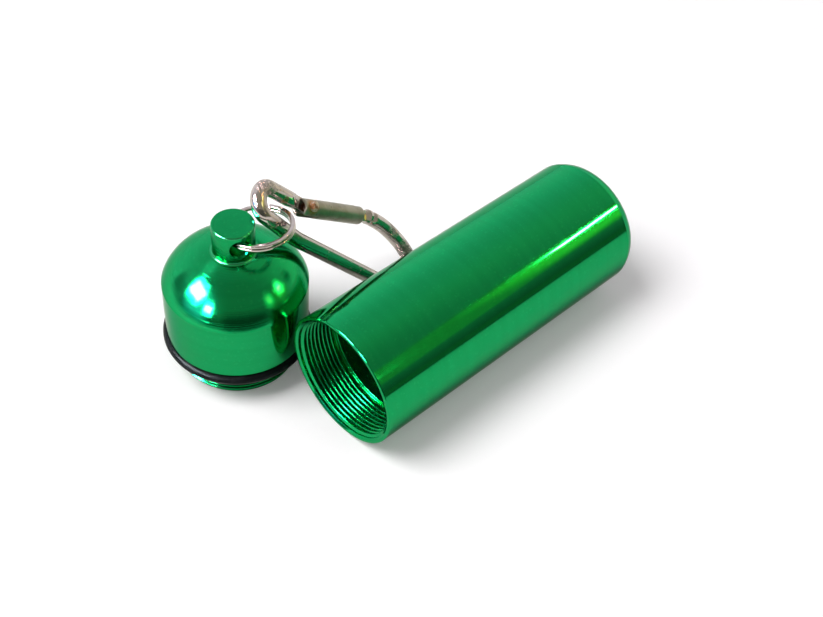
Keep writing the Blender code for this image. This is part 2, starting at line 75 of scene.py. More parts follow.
# Threads
PITCH = 0.87 * MM
MOUTH_ROOT = TUBE_RADIUS - RIM_WALL
MOUTH_RELIEF = 0.5 * MM
MOUTH_CREST = MOUTH_ROOT - MOUTH_RELIEF
MOUTH_TURNS = 8
MOUTH_START = 0.6 * MM
MOUTH_TURN = math.radians(180.0)        # where the thread starts, from the lowest point
SKIRT_CORE = 10.95 * MM
SKIRT_CREST = 11.42 * MM
SKIRT_TURNS = 4
SKIRT_START = 0.75 * MM
CREST_ROUND = 0.12 * MM
CREST_STEPS = 5
FLANK_ANGLE = math.radians(60.0)
FOOT_SINK_SHARE = 0.9       # of the relief, by which a ridge's foot is sunk in the wall
FOOT_WIDTH_SHARE = 1.1      # of the ridge's width at the wall
THREAD_STEPS = 128
THREAD_REACH = 0.05 * MM
OWN_TURN_SHARE = 0.6        # of the pitch, within which points belong to the same turn
RUN_OUT_STEPS = 32
RUN_OUT_LEAST_SHARE = 0.02

# Cap
BAND_RADIUS = 13.1 * MM
BAND_CHAMFER = 0.25 * MM
SKIRT_HEIGHT = 7.2 * MM
SKIRT_BORE_ROUND = 0.25 * MM
SKIRT_RIM_ROUND = 0.35 * MM
NECK_RADIUS = 11.68 * MM
NECK_HEIGHT = 2.3 * MM
NECK_SLOPE = 0.3 * MM
NECK_ROUND = 0.15 * MM
CAVITY_RADIUS = 9.7 * MM
CAVITY_DEPTH = 16.0 * MM
CAVITY_ROUND = 4.0 * MM
DOME_FOOT = 18.9 * MM
DOME_HEIGHT = 7.4 * MM
DOME_FLARE = 1.045          # above one, so that the dome starts with a crease
DOME_STEPS = 40
KNOB_BASE = 26.3 * MM
KNOB_TOP = 32.6 * MM
KNOB_RADIUS = 3.8 * MM
KNOB_CHAMFER = 0.3 * MM
KNOB_FOOT = 0.45 * MM
KNOB_FOOT_STEPS = 8
HOLE_RADIUS = 1.85 * MM
HOLE_FLARE = 0.22 * MM

# Seal
SEAL_RADIUS = 12.7 * MM
SEAL_HEIGHT = 5.9 * MM
SEAL_SECTION = 1.0 * MM
SEAL_LINE = 0.045 * MM
SEAL_SIDES = 40
SEAL_STEPS = 192

# Split ring
RING_RADIUS = 5.75 * MM
RING_WIDTH = 0.9 * MM
RING_THICKNESS = 0.5 * MM
RING_EDGE = 0.14 * MM
RING_STEP_UP = 0.62 * MM
RING_TILT = math.radians(3.0)
RING_ROLL = math.radians(-9.0)
RING_PUSH = 0.2 * MM
RING_JOG = math.radians(36.0)
RING_JOG_STEPS = 16
RING_END_GAP = math.radians(5.0)
RING_START = math.radians(95.0)
RING_COIL_STEP = math.radians(3.0)

# Snap hook: corners of its wire's centre line, in its own plane, with the radius of each bend
WIRE_RADIUS = 1.45 * MM
RIVET = Vector((12.721, 6.498)) * MM
HOOK_LEG_FOOT = Vector((0.0, 1.556)) * MM
HOOK_LEG_END = Vector((11.065, 0.0)) * MM
HOOK_NOSE = Vector((31.019, 11.246)) * MM
HOOK_BENDS = [
    (Vector((0.0, 6.498)) * MM, 3.0 * MM),
    (HOOK_LEG_FOOT, 3.0 * MM),
    (HOOK_LEG_END, 9.0 * MM),
    (Vector((44.352, 0.0)) * MM, 4.8 * MM),
    (Vector((46.892, 7.35)) * MM, 3.2 * MM),
    (Vector((42.493, 9.781)) * MM, 20.0 * MM),
    (Vector((36.28, 11.303)) * MM, 20.0 * MM),
    (HOOK_NOSE, 8.0 * MM),
]
ROOM_SHARE = 0.49           # of the way to the next corner, the most that a bend takes up
WIRE_SIDES = 32
WIRE_STEP = 0.3 * MM
WIRE_SLICE_SHARE = 0.1      # of a step, within which points belong to the same ring of the wire
BEND_STEP = math.radians(4.0)
TONGUE_WIDTH = 2.6 * MM
TONGUE_THICKNESS = 1.0 * MM
TONGUE_LENGTH = 3.2 * MM
TONGUE_TIP_SHARE = 0.985
TONGUE_FADE = 2.2 * MM
NOSE_WIDTH = 2.3 * MM
NOSE_TIP = 1.5 * MM
NOSE_FLAT = 3.9 * MM
NOSE_FADE = 0.9 * MM

# Gate, with its rivet, plunger and spring
GATE_RADIUS = 1.75 * MM
GATE_LENGTH = 15.8 * MM
GATE_HEEL = 1.9 * MM
GATE_BORE = 1.25 * MM
GATE_BORE_DEPTH = 12.0 * MM
GATE_BORE_ROUND = 0.08 * MM
GATE_CHAMFER = 0.25 * MM
GATE_STEPS = 96
FORK_DEPTH = 2.6 * MM
LATCH_DEPTH = 2.1 * MM
LATCH_ROOM = 0.3 * MM
SLOT_HALF = 0.8 * MM
MILL_ROUND = 0.12 * MM
RIVET_RADIUS = 0.5 * MM
RIVET_HOLE = 0.8 * MM
RIVET_ROOM = 0.06 * MM
RIVET_HEAD = 0.95 * MM
RIVET_HEAD_HEIGHT = 0.5 * MM
RIVET_SEAT = 2.05 * MM
HEAD_ROUND_SHARE = 0.8      # of the head's height
HEAD_FOOT_SHARE = 0.96      # of the head's radius
HEAD_SINK_SHARE = 0.93      # of the gate's radius, down to which a head reaches
PLUNGER_START = 1.6 * MM
PLUNGER_SHOULDER = 3.1 * MM
PLUNGER_END = 4.5 * MM
PLUNGER_RADIUS = 0.95 * MM
PLUNGER_ROUND = 0.3 * MM
PLUNGER_EDGE = 0.06 * MM
STEM_RADIUS = 0.31 * MM
STEM_ROUND = 0.1 * MM
SPRING_RADIUS = 0.78 * MM
SPRING_WIRE = 0.17 * MM
SPRING_SIDES = 10
SPRING_START = 3.57 * MM
SPRING_END = 11.53 * MM
SPRING_TURNS = 7
SPRING_STEPS = 40

# How finely rounds are cut
TURNED_STEPS = 256
PIN_STEPS = 64
FINE_STEPS = 48
ROUND_STEP = math.radians(7.5)
COARSE_ROUND_STEP = math.radians(15.0)
EDGE_SEGMENTS = 3
TURNED_CREASE = math.radians(14.0)
PLAIN_CREASE = math.radians(32.0)


# Hand tools

def hold(piece):
    """Select a piece, and nothing else, to work on."""
    bpy.ops.object.select_all(action="DESELECT")
    piece.select_set(True)
    bpy.context.view_layer.objects.active = piece


def open_piece(piece):
    """Hold a piece and open its mesh."""
    hold(piece)
    bpy.ops.object.mode_set(mode="EDIT")


def close_piece():
    bpy.ops.object.mode_set(mode="OBJECT")


def fix_place(piece, place=None):
    """Set a piece in its place and put that place into its mesh."""
    if place is not None:
        piece.matrix_world = place
    hold(piece)
    bpy.ops.object.transform_apply(location=True, rotation=True, scale=True)


def start_piece(name, add, **sizes):
    """A primitive at its size and place, open and selected all over."""
    bpy.ops.object.select_all(action="DESELECT")
    add(**sizes)
    piece = bpy.context.object
    piece.name = name
    piece.data.name = name
    fix_place(piece)
    bpy.ops.object.mode_set(mode="EDIT")
    bpy.ops.mesh.select_all(action="SELECT")
    return piece


def pick(piece, wanted):
    """Leave only the wanted points of an open piece selected."""
    bpy.ops.mesh.select_all(action="DESELECT")
    shape = bmesh.from_edit_mesh(piece.data)
    for point in shape.verts:
        point.select_set(wanted(point.co))
    shape.select_flush(True)
    bmesh.update_edit_mesh(piece.data)


def clean_up():
    """Join doubled points and turn every face of the open piece outwards."""
    bpy.ops.mesh.select_all(action="SELECT")
    bpy.ops.mesh.remove_doubles(threshold=MERGE)
    bpy.ops.mesh.normals_make_consistent(inside=False)


def push(way):
    """Extrude what is selected along a way."""
    bpy.ops.mesh.extrude_region_move(TRANSFORM_OT_translate={"value": way})


def swing(turn, steps, centre=(0.0, 0.0, 0.0)):
    """Spin what is selected about a centre, counter-clockwise as seen from above."""
    bpy.ops.mesh.spin(steps=steps, angle=-turn, center=centre, axis=UP)


def eased(share):
    """A share kept between 0 and 1 that starts and ends gently."""
    share = min(max(share, 0.0), 1.0)
    return share * share * (3 - 2 * share)


def bend_at(before, corner, after, radius):
    """Where the bend at a corner starts and ends, its centre, and its turn, left turns above zero."""
    back, ahead = before - corner, after - corner
    turn = math.pi - back.angle(ahead)
    cut = min(radius * math.tan(turn / 2), min(back.length, ahead.length) * ROOM_SHARE)
    reach = math.hypot(cut, cut / math.tan(turn / 2))
    start = corner + back.normalized() * cut
    end = corner + ahead.normalized() * cut
    centre = corner + (back.normalized() + ahead.normalized()).normalized() * reach
    side = 1 if back.cross(ahead) < 0 else -1
    return start, end, centre, side * turn


def rounded(corners, step=ROUND_STEP):
    """Points of an outline through corners (radius, height) or (radius, height, rounding)."""
    spots = [Vector(corner[:2]) for corner in corners]
    line = [spots[0]]
    for index in range(1, len(spots) - 1):
        if len(corners[index]) < 3:
            line.append(spots[index])
            continue
        start, end, centre, turn = bend_at(*spots[index - 1:index + 2], corners[index][2])
        count = max(1, round(abs(turn) / step))
        for number in range(count + 1):
            line.append(centre + Matrix.Rotation(turn * number / count, 2) @ (start - centre))
    line.append(spots[-1])
    return line


def both_ends(corners):
    """Corners of an outline that is alike at both ends, from those of its upper half, top first."""
    lower = [(radius, -height, *rounding) for radius, height, *rounding in corners]
    return lower + corners[::-1]


def round_section(radius, height, reach, sides):
    """Points round a circle about (radius, height)."""
    angles = [FULL_TURN * count / sides for count in range(sides)]
    return [(radius + reach * math.cos(angle), height + reach * math.sin(angle)) for angle in angles]


def draw_outline(name, line):
    """An open line through points (radius, height), drawn by pulling one point along it."""
    points = [Vector((radius, 0.0, height)) for radius, height in line]
    piece = start_piece(name, bpy.ops.mesh.primitive_plane_add, size=MM)
    bpy.ops.mesh.merge(type="CENTER")
    bpy.ops.transform.translate(value=points[0])
    for here, there in zip(points, points[1:]):
        push(there - here)
    return piece


def turn_piece(name, line, steps=TURNED_STEPS):
    """A piece turned about Z from its outline."""
    piece = draw_outline(name, line)
    bpy.ops.mesh.select_all(action="SELECT")
    swing(FULL_TURN, steps)
    clean_up()
    close_piece()
    return piece


def wind_piece(name, line, pitch, turns, steps):
    """A closed section carried round Z and up it, as a thread or a spring is, with its ends shut."""
    piece = draw_outline(name, [*line, line[0]])
    clean_up()
    close_piece()
    winding = piece.modifiers.new("winding", "SCREW")
    winding.axis = "Z"
    winding.screw_offset = pitch
    winding.iterations = turns
    winding.steps = steps
    winding.render_steps = steps
    bpy.ops.object.modifier_apply(modifier=winding.name)
    open_piece(piece)
    clean_up()
    bpy.ops.mesh.fill_holes(sides=0)
    bpy.ops.mesh.normals_make_consistent(inside=False)
    close_piece()
    return piece


def rod(name, radius, start, end):
    """A thin round rod along Z."""
    return turn_piece(name, [(0.0, start), (radius, start), (radius, end), (0.0, end)], FINE_STEPS)


def mill(name, low, high):
    """A block between two corners, its edges rounded as a cutter leaves them."""
    low, high = Vector(low), Vector(high)
    block = start_piece(name, bpy.ops.mesh.primitive_cube_add, size=1.0, location=(low + high) / 2,
                        scale=high - low)
    bpy.ops.mesh.bevel(offset=MILL_ROUND, segments=EDGE_SEGMENTS)
    close_piece()
    return block


def carve(piece, cutter):
    """Cut a shape out of a piece and throw the cutter away."""
    cut = piece.modifiers.new("cut", "BOOLEAN")
    cut.solver = "EXACT"
    cut.object = cutter
    hold(piece)
    bpy.ops.object.modifier_apply(modifier=cut.name)
    bpy.data.objects.remove(cutter)


def add_to(piece, other):
    """Make another piece part of this one."""
    hold(piece)
    other.select_set(True)
    bpy.ops.object.join()


def along(direction, side, origin):
    """A place whose X runs along a direction and whose Y is as near as can be to a side."""
    x = direction.normalized()
    z = x.cross(side).normalized()
    place = Matrix((x, z.cross(x), z)).transposed().to_4x4()
    place.translation = origin
    return place


# Places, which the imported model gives

joints = {joint["name"]: joint for joint in frame["joints"]}


def joint_spot(name):
    return Vector(joints[name]["pos_m"])


def joint_axis(name):
    return Vector(joints[name]["axis"]).normalized()


tube_low, tube_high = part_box("capsule_body")
cap_low, cap_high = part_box("cap")
tube_middle = (tube_low + tube_high) / 2
cap_middle = (cap_low + cap_high) / 2
TUBE_PLACE = (Matrix.Translation((tube_low.x, tube_middle.y, tube_middle.z))
              @ Matrix.Rotation(QUARTER_TURN, 4, "Y"))
CAP_PLACE = Matrix.Translation((cap_middle.x, cap_middle.y, cap_low.z))

HOLE_MIDDLE = joint_spot("ring_swing")
HOLE_AXIS = joint_axis("ring_swing")
RING_WAY = UP.cross(HOLE_AXIS) * math.cos(RING_TILT) + UP * math.sin(RING_TILT)
RING_OFFSET = (RING_RADIUS + math.sqrt(RING_RADIUS ** 2 - KNOB_RADIUS ** 2)) / 2 - RING_PUSH
FAR_WIRE_WAY = Matrix.Rotation(RING_ROLL, 3, RING_WAY) @ HOLE_AXIS
RING_PLACE = along(RING_WAY, -FAR_WIRE_WAY, HOLE_MIDDLE + RING_WAY * RING_OFFSET)

HOOK_FACE = -joint_axis("gate_open")
LEG_LINE = HOOK_LEG_END - HOOK_LEG_FOOT
LEG_TURN = math.atan2(LEG_LINE.y, LEG_LINE.x)
HOOK_SPINE = Matrix.Rotation(-LEG_TURN, 3, HOOK_FACE) @ joint_axis("hook_roll")
HOOK_PLACE = along(HOOK_SPINE, HOOK_FACE.cross(HOOK_SPINE), Vector())
HOOK_PLACE.translation = joint_spot("gate_open") - HOOK_PLACE.to_3x3() @ RIVET.to_3d()

GATE_WAY = (HOOK_NOSE - RIVET).normalized()
NOSE_START = RIVET + GATE_WAY * (GATE_LENGTH - NOSE_TIP)
RIVET_PLACE = HOOK_PLACE @ Matrix.Translation(RIVET.to_3d())
GATE_PLACE = RIVET_PLACE @ Matrix.Rotation(math.atan2(GATE_WAY.y, GATE_WAY.x), 4, "Z")
GATE_TURN = GATE_PLACE @ Matrix.Rotation(QUARTER_TURN, 4, "Y")


# Threads

def thread_section(root, crest, height):
    """A thread ridge's section: its foot sunk in the wall, its flanks, and a rounded crest."""
    relief = root - crest
    foot = root + relief * FOOT_SINK_SHARE
    inward = math.copysign(CREST_ROUND, relief)
    angles = [FLANK_ANGLE * count / CREST_STEPS for count in range(-CREST_STEPS, CREST_STEPS + 1)]
    arc = [(crest + inward * (1 - math.cos(angle)), height + CREST_ROUND * math.sin(angle))
           for angle in angles]
    flank_radius, flank_height = arc[-1]
    half = flank_height - height + abs(root - flank_radius) / math.tan(FLANK_ANGLE)
    half_foot = half * FOOT_WIDTH_SHARE
    return [(foot, height - half_foot), (root, height - half), *arc,
            (root, height + half), (foot, height + half_foot)]


def run_out(thread, foot, height, turns):
    """Let a wound thread rise out of its wall at both ends."""
    open_piece(thread)
    for count in range(RUN_OUT_STEPS):
        size = RUN_OUT_LEAST_SHARE + (1 - RUN_OUT_LEAST_SHARE) * eased(count / RUN_OUT_STEPS)
        for step in (count, turns * THREAD_STEPS - count):
            angle = FULL_TURN * step / THREAD_STEPS
            middle = Vector((math.cos(angle) * foot, math.sin(angle) * foot,
                             height + PITCH * step / THREAD_STEPS))
            across = Vector((-math.sin(angle), math.cos(angle), 0.0))
            pick(thread, lambda point: abs((point - middle).dot(across)) < THREAD_REACH
                 and (point - middle).length < PITCH * OWN_TURN_SHARE)
            bpy.ops.transform.resize(value=(size, size, size), center_override=middle)
    close_piece()


def wind_thread(name, root, crest, height, turns):
    """A thread on a wall about Z, with its lowest turn at a height."""
    section = thread_section(root, crest, height)
    thread = wind_piece(name, section, PITCH, turns, THREAD_STEPS)
    run_out(thread, section[0][0], height, turns)
    return thread


# Tube

def tube_end_line():
    """The round of the closed end, which starts with a crease."""
    angles = [TUBE_END_CREASE + (QUARTER_TURN - TUBE_END_CREASE) * count / TUBE_END_STEPS
              for count in range(1, TUBE_END_STEPS + 1)]
    rise = 1 - math.sin(TUBE_END_CREASE)
    fall = math.cos(TUBE_END_CREASE)
    return [Vector((TUBE_RADIUS - TUBE_END_ROUND * (1 - math.cos(angle) / fall),
                    TUBE_LENGTH - TUBE_END_ROUND * (1 - math.sin(angle)) / rise))
            for angle in angles]


def make_tube():
    outline = rounded([
        (0.0, TUBE_LENGTH - TUBE_FLOOR),
        (BORE_RADIUS, TUBE_LENGTH - TUBE_FLOOR, BORE_ROUND),
        (BORE_RADIUS, THREAD_DEPTH, BORE_LIP),
        (MOUTH_ROOT, THREAD_DEPTH, THREAD_END_ROUND),
        (MOUTH_ROOT, RIM_CHAMFER),
        (MOUTH_ROOT + RIM_LEAD_IN, 0.0, RIM_SOFTNESS),
        (TUBE_RADIUS, 0.0, RIM_CHAMFER),
        (TUBE_RADIUS, TUBE_LENGTH - TUBE_END_ROUND),
    ])
    outline += tube_end_line()
    outline.append(Vector((0.0, TUBE_LENGTH)))
    tube = turn_piece("capsule_tube", outline)
    thread = wind_thread("mouth_thread", MOUTH_ROOT, MOUTH_CREST, MOUTH_START, MOUTH_TURNS)
    fix_place(thread, Matrix.Rotation(MOUTH_TURN, 4, "Z"))
    add_to(tube, thread)
    fix_place(tube, TUBE_PLACE)
    return tube


# Cap

def dome_line():
    """Points up the dome's elliptical side, from just above the band to the knob's foot."""
    half_width = BAND_RADIUS * DOME_FLARE
    start = math.asin(1 / DOME_FLARE)
    end = math.asin((KNOB_RADIUS + KNOB_FOOT) / half_width)
    half_height = DOME_HEIGHT / (math.cos(end) - math.cos(start))
    base = KNOB_BASE - half_height * math.cos(end)
    angles = [start + (end - start) * count / DOME_STEPS for count in range(1, DOME_STEPS + 1)]
    return [Vector((half_width * math.sin(angle), base + half_height * math.cos(angle)))
            for angle in angles]


def knob_foot_line():
    """The fillet between the dome and the knob."""
    angles = [QUARTER_TURN * count / KNOB_FOOT_STEPS for count in range(1, KNOB_FOOT_STEPS + 1)]
    return [Vector((KNOB_RADIUS + KNOB_FOOT * (1 - math.sin(angle)),
                    KNOB_BASE + KNOB_FOOT * (1 - math.cos(angle)))) for angle in angles]


def knob_drill():
    """The shape of the knob's cross hole, flared at both ends."""
    mouth = HOLE_RADIUS + HOLE_FLARE
    reach = KNOB_RADIUS + OVERRUN
    drill = turn_piece("drill", both_ends([
        (0.0, reach),
        (mouth + OVERRUN, reach),
        (mouth, KNOB_RADIUS),
        (HOLE_RADIUS, KNOB_RADIUS - HOLE_FLARE * 2),
    ]), PIN_STEPS)
    hole_place = along(HOLE_AXIS, UP, HOLE_MIDDLE)
    fix_place(drill, CAP_PLACE.inverted() @ hole_place @ Matrix.Rotation(QUARTER_TURN, 4, "Y"))
    return drill


def make_cap():
    outline = rounded([
        (0.0, CAVITY_DEPTH),
        (CAVITY_RADIUS, CAVITY_DEPTH, CAVITY_ROUND),
        (CAVITY_RADIUS, 0.0, SKIRT_BORE_ROUND),
        (SKIRT_CORE, 0.0, SKIRT_RIM_ROUND),
        (SKIRT_CORE, SKIRT_HEIGHT - NECK_HEIGHT - NECK_SLOPE),
        (NECK_RADIUS, SKIRT_HEIGHT - NECK_HEIGHT),
        (NECK_RADIUS, SKIRT_HEIGHT, NECK_ROUND),
        (BAND_RADIUS, SKIRT_HEIGHT, BAND_CHAMFER),
        (BAND_RADIUS, DOME_FOOT),
    ])
    outline += dome_line()
    outline += knob_foot_line()
    outline += rounded([
        (KNOB_RADIUS, KNOB_BASE + KNOB_FOOT),
        (KNOB_RADIUS, KNOB_TOP, KNOB_CHAMFER),
        (0.0, KNOB_TOP),
    ])[1:]
    cap = turn_piece("screw_cap", outline)
    carve(cap, knob_drill())
    add_to(cap, wind_thread("skirt_thread", SKIRT_CORE, SKIRT_CREST, SKIRT_START, SKIRT_TURNS))
    fix_place(cap, CAP_PLACE)
    return cap


def make_seal():
    """A moulded seal, round in section, with the fine line where its mould parted."""
    section = round_section(SEAL_RADIUS, SEAL_HEIGHT, SEAL_SECTION, SEAL_SIDES)
    section[0] = (SEAL_RADIUS + SEAL_SECTION + SEAL_LINE, SEAL_HEIGHT)
    section[SEAL_SIDES // 2] = (SEAL_RADIUS - SEAL_SECTION - SEAL_LINE, SEAL_HEIGHT)
    seal = turn_piece("rubber_seal", [*section, section[0]], SEAL_STEPS)
    fix_place(seal, CAP_PLACE)
    return seal


# Split ring

def make_split_ring():
    """Flat spring wire wound for nearly two turns, with the step where it climbs onto itself."""
    foot = (RING_RADIUS, 0.0, -RING_STEP_UP / 2)
    ring = start_piece("split_key_ring", bpy.ops.mesh.primitive_plane_add, size=RING_WIDTH,
                       location=foot, rotation=(QUARTER_TURN, 0.0, 0.0))
    bpy.ops.transform.resize(value=(1.0, 1.0, RING_THICKNESS / RING_WIDTH), center_override=foot)
    bpy.ops.mesh.bevel(affect="VERTICES", offset=RING_EDGE, segments=EDGE_SEGMENTS)
    first = FULL_TURN - RING_JOG
    swing(first, round(first / RING_COIL_STEP))
    for count in range(RING_JOG_STEPS):
        swing(RING_JOG / RING_JOG_STEPS, 1)
        climb = eased((count + 1) / RING_JOG_STEPS) - eased(count / RING_JOG_STEPS)
        bpy.ops.transform.translate(value=(0.0, 0.0, climb * RING_STEP_UP))
    second = first - RING_END_GAP
    swing(second, round(second / RING_COIL_STEP))
    clean_up()
    close_piece()
    fix_place(ring, RING_PLACE @ Matrix.Rotation(RING_START, 4, "Z"))
    return ring


# Snap hook

def lay_wire(name, start, bends, end):
    """A round wire run straight and bent in the XY plane. Returns it with its rings, as their
    (run, centre, way)."""
    way = (bends[0][0] - start).normalized()
    wire = start_piece(name, bpy.ops.mesh.primitive_circle_add, vertices=WIRE_SIDES,
                       radius=WIRE_RADIUS, fill_type="NGON", location=start.to_3d(),
                       rotation=(0.0, QUARTER_TURN, math.atan2(way.y, way.x)))
    rings = [(0.0, start, way)]

    def run_to(there):
        run, here, _ = rings[-1]
        gap = there - here
        count = max(1, round(gap.length / WIRE_STEP))
        for number in range(1, count + 1):
            push((gap / count).to_3d())
            rings.append((run + gap.length * number / count, here + gap * number / count,
                          gap.normalized()))

    spots = [start, *(spot for spot, _ in bends), end]
    for index, (_, radius) in enumerate(bends):
        bend_start, bend_end, centre, turn = bend_at(*spots[index:index + 3], radius)
        run_to(bend_start)
        swing(turn, max(2, round(abs(turn) / BEND_STEP)), centre.to_3d())
        run = rings[-1][0] + abs(turn) * (bend_start - centre).length
        rings.append((run, bend_end, (spots[index + 2] - spots[index + 1]).normalized()))
    run_to(end)
    return wire, rings


def press_flat(wire, centre, way, half_width, half_thickness):
    """Hammer one ring of an open wire flat and to a width."""
    middle = centre.to_3d()

    def on_ring(point):
        off = point - middle
        return (abs(off.dot(way.to_3d())) < WIRE_STEP * WIRE_SLICE_SHARE
                and off.length < WIRE_RADIUS * 2)

    pick(wire, on_ring)
    wider = half_width / WIRE_RADIUS
    bpy.ops.transform.resize(value=(wider, wider, 1.0), center_override=middle)
    for face in (half_thickness, -half_thickness):
        pick(wire, lambda point: on_ring(point) and point.z / face > 1)
        bpy.ops.transform.resize(value=(1.0, 1.0, 0.0), center_override=(*centre, face))


def make_hook():
    """Bent wire, hammered flat to a drilled tongue at one end and to a nose at the other."""
    half_tongue = TONGUE_WIDTH / 2
    tip = half_tongue * TONGUE_TIP_SHARE
    start = RIVET + Vector((tip, 0.0))
    hook, rings = lay_wire("hook_wire", start, HOOK_BENDS, NOSE_START)
    total = rings[-1][0]
    for run, centre, way in rings:
        tongue = eased(1.0 - (run - tip - TONGUE_LENGTH) / TONGUE_FADE)
        nose = eased(1.0 - (total - run - NOSE_TIP - NOSE_FLAT) / NOSE_FADE)
        flat = max(tongue, nose)
        if not flat:
            continue
        full_flat = half_tongue if tongue >= nose else NOSE_WIDTH / 2
        half_width = WIRE_RADIUS + (full_flat - WIRE_RADIUS) * flat
        if run < tip:
            half_width *= math.sqrt(1.0 - ((tip - run) / half_tongue) ** 2)
        half_thickness = WIRE_RADIUS + (TONGUE_THICKNESS / 2 - WIRE_RADIUS) * flat
        press_flat(hook, centre, way, half_width, half_thickness)
    clean_up()
    close_piece()
    drill = rod("drill", RIVET_HOLE, -TONGUE_THICKNESS, TONGUE_THICKNESS)
    fix_place(drill, Matrix.Translation(RIVET.to_3d()))
    carve(hook, drill)
    fix_place(hook, HOOK_PLACE)
    return hook


def make_gate():
    """A drilled sleeve, forked at its heel and slotted at its end."""
    outline = rounded([
        (0.0, GATE_BORE_DEPTH),
        (GATE_BORE, GATE_BORE_DEPTH),
        (GATE_BORE, -GATE_HEEL, GATE_BORE_ROUND),
        (GATE_RADIUS, -GATE_HEEL, GATE_CHAMFER),
        (GATE_RADIUS, GATE_LENGTH, GATE_CHAMFER),
        (0.0, GATE_LENGTH),
    ], COARSE_ROUND_STEP)
    gate = turn_piece("gate_sleeve", outline, GATE_STEPS)
    fix_place(gate, Matrix.Rotation(QUARTER_TURN, 4, "Y"))
    reach = GATE_RADIUS + OVERRUN
    carve(gate, mill("fork_mill", (-GATE_HEEL - OVERRUN, -reach, -SLOT_HALF),
                     (FORK_DEPTH, reach, SLOT_HALF)))
    carve(gate, mill("latch_mill", (GATE_LENGTH - LATCH_DEPTH, -NOSE_WIDTH / 2 - LATCH_ROOM, -SLOT_HALF),
                     (GATE_LENGTH + OVERRUN, reach, SLOT_HALF)))
    carve(gate, rod("drill", RIVET_RADIUS + RIVET_ROOM, -reach, reach))
    fix_place(gate, GATE_PLACE)
    return gate


def make_rivet():
    """A pin with two peened heads."""
    top = RIVET_SEAT + RIVET_HEAD_HEIGHT
    foot = GATE_RADIUS * HEAD_SINK_SHARE
    rivet = turn_piece("gate_pin", rounded(both_ends([
        (0.0, top),
        (RIVET_HEAD, top, RIVET_HEAD_HEIGHT * HEAD_ROUND_SHARE),
        (RIVET_HEAD * HEAD_FOOT_SHARE, foot),
        (RIVET_RADIUS, foot),
    ])), PIN_STEPS)
    fix_place(rivet, RIVET_PLACE)
    return rivet


def make_plunger():
    """The headed pin that the spring holds against the tongue."""
    plunger = turn_piece("spring_plunger", rounded([
        (0.0, PLUNGER_START),
        (PLUNGER_RADIUS, PLUNGER_START, PLUNGER_ROUND),
        (PLUNGER_RADIUS, PLUNGER_SHOULDER, PLUNGER_EDGE),
        (STEM_RADIUS, PLUNGER_SHOULDER),
        (STEM_RADIUS, PLUNGER_END, STEM_ROUND),
        (0.0, PLUNGER_END),
    ]), FINE_STEPS)
    fix_place(plunger, GATE_TURN)
    return plunger


def make_spring():
    """The gate's coil spring."""
    section = round_section(SPRING_RADIUS, SPRING_START, SPRING_WIRE, SPRING_SIDES)
    spring = wind_piece("coil_spring", section, (SPRING_END - SPRING_START) / SPRING_TURNS,
                        SPRING_TURNS, SPRING_STEPS)
    fix_place(spring, GATE_TURN)
    return spring


# Shader tools

def set_inputs(tree, sockets, values):
    """Set sockets, or link them, by their label or number."""
    for label, value in values.items():
        if isinstance(value, bpy.types.NodeSocket):
            tree.links.new(value, sockets[label])
        else:
            sockets[label].default_value = value


def put(tree, kind, inputs=None, **settings):
    """A shader node of a kind, with its inputs and its settings."""
    made = tree.nodes.new("ShaderNode" + kind)
    for name, value in settings.items():
        setattr(made, name, value)
    set_inputs(tree, made.inputs, inputs or {})
    return made


def reckon(tree, operation, *values):
    """The result of a Math node."""
    return put(tree, "Math", dict(enumerate(values)), operation=operation).outputs[0]


def measure(tree, operation, *vectors):
    """A number that a Vector Math node makes of vectors."""
    made = put(tree, "VectorMath", dict(enumerate(vectors)), operation=operation)
    return made.outputs["Value"]


def graded(tree, value, low, high, to_low=0.0, to_high=1.0):
    """A value carried smoothly from one range to another."""
    made = put(tree, "MapRange", {
        "Value": value, "From Min": low, "From Max": high, "To Min": to_low, "To Max": to_high,
    }, interpolation_type="SMOOTHSTEP")
    return made.outputs["Result"]


def blended(tree, share, first, second):
    """Two colours mixed by a share."""
    return put(tree, "Mix", {0: share, 6: first, 7: second}, data_type="RGBA").outputs[2]


def layered(tree, colour, *layers):
    """A colour with others over it, each given as (mask, share, colour)."""
    for mask, share, over in layers:
        colour = blended(tree, reckon(tree, "MULTIPLY", mask, share), colour, over)
    return colour


def added(tree, total, *parts):
    """A value and what is added to it, each part given as (mask, amount)."""
    for mask, amount in parts:
        total = reckon(tree, "MULTIPLY_ADD", mask, amount, total)
    return total


def noise(tree, spots, scale, detail, roughness=0.5, distortion=0.0, dimensions="3D"):
    """Cloudy noise."""
    return put(tree, "TexNoise", {
        "Vector": spots, "Scale": scale, "Detail": detail, "Roughness": roughness,
        "Distortion": distortion}, noise_dimensions=dimensions).outputs[0]


def round_axis(tree, spots):
    """How far spots are from Z, and their height on it."""
    parts = put(tree, "SeparateXYZ", {0: spots}).outputs
    flat = put(tree, "CombineXYZ", {0: parts[0], 1: parts[1]}).outputs[0]
    return measure(tree, "LENGTH", flat), parts[2]


def raised(tree, height, distance, strength=1.0, normal=None):
    """A bump from a height, over another bump's normal if there is one."""
    inputs = {"Height": height, "Distance": distance, "Strength": strength}
    if normal:
        inputs["Normal"] = normal
    return put(tree, "Bump", inputs).outputs[0]


def crossed(tree, share, first, second):
    """Two shaders mixed by a share."""
    return put(tree, "MixShader", {0: share, 1: first.outputs[0], 2: second.outputs[0]})


def own_axis(tree, place):
    """Object coordinates turned and centred so that Z runs along a piece's own axis."""
    back = place.inverted()
    return put(tree, "Mapping", {
        "Vector": put(tree, "TexCoord").outputs["Object"], "Location": back.translation,
        "Rotation": back.to_euler()}).outputs[0]


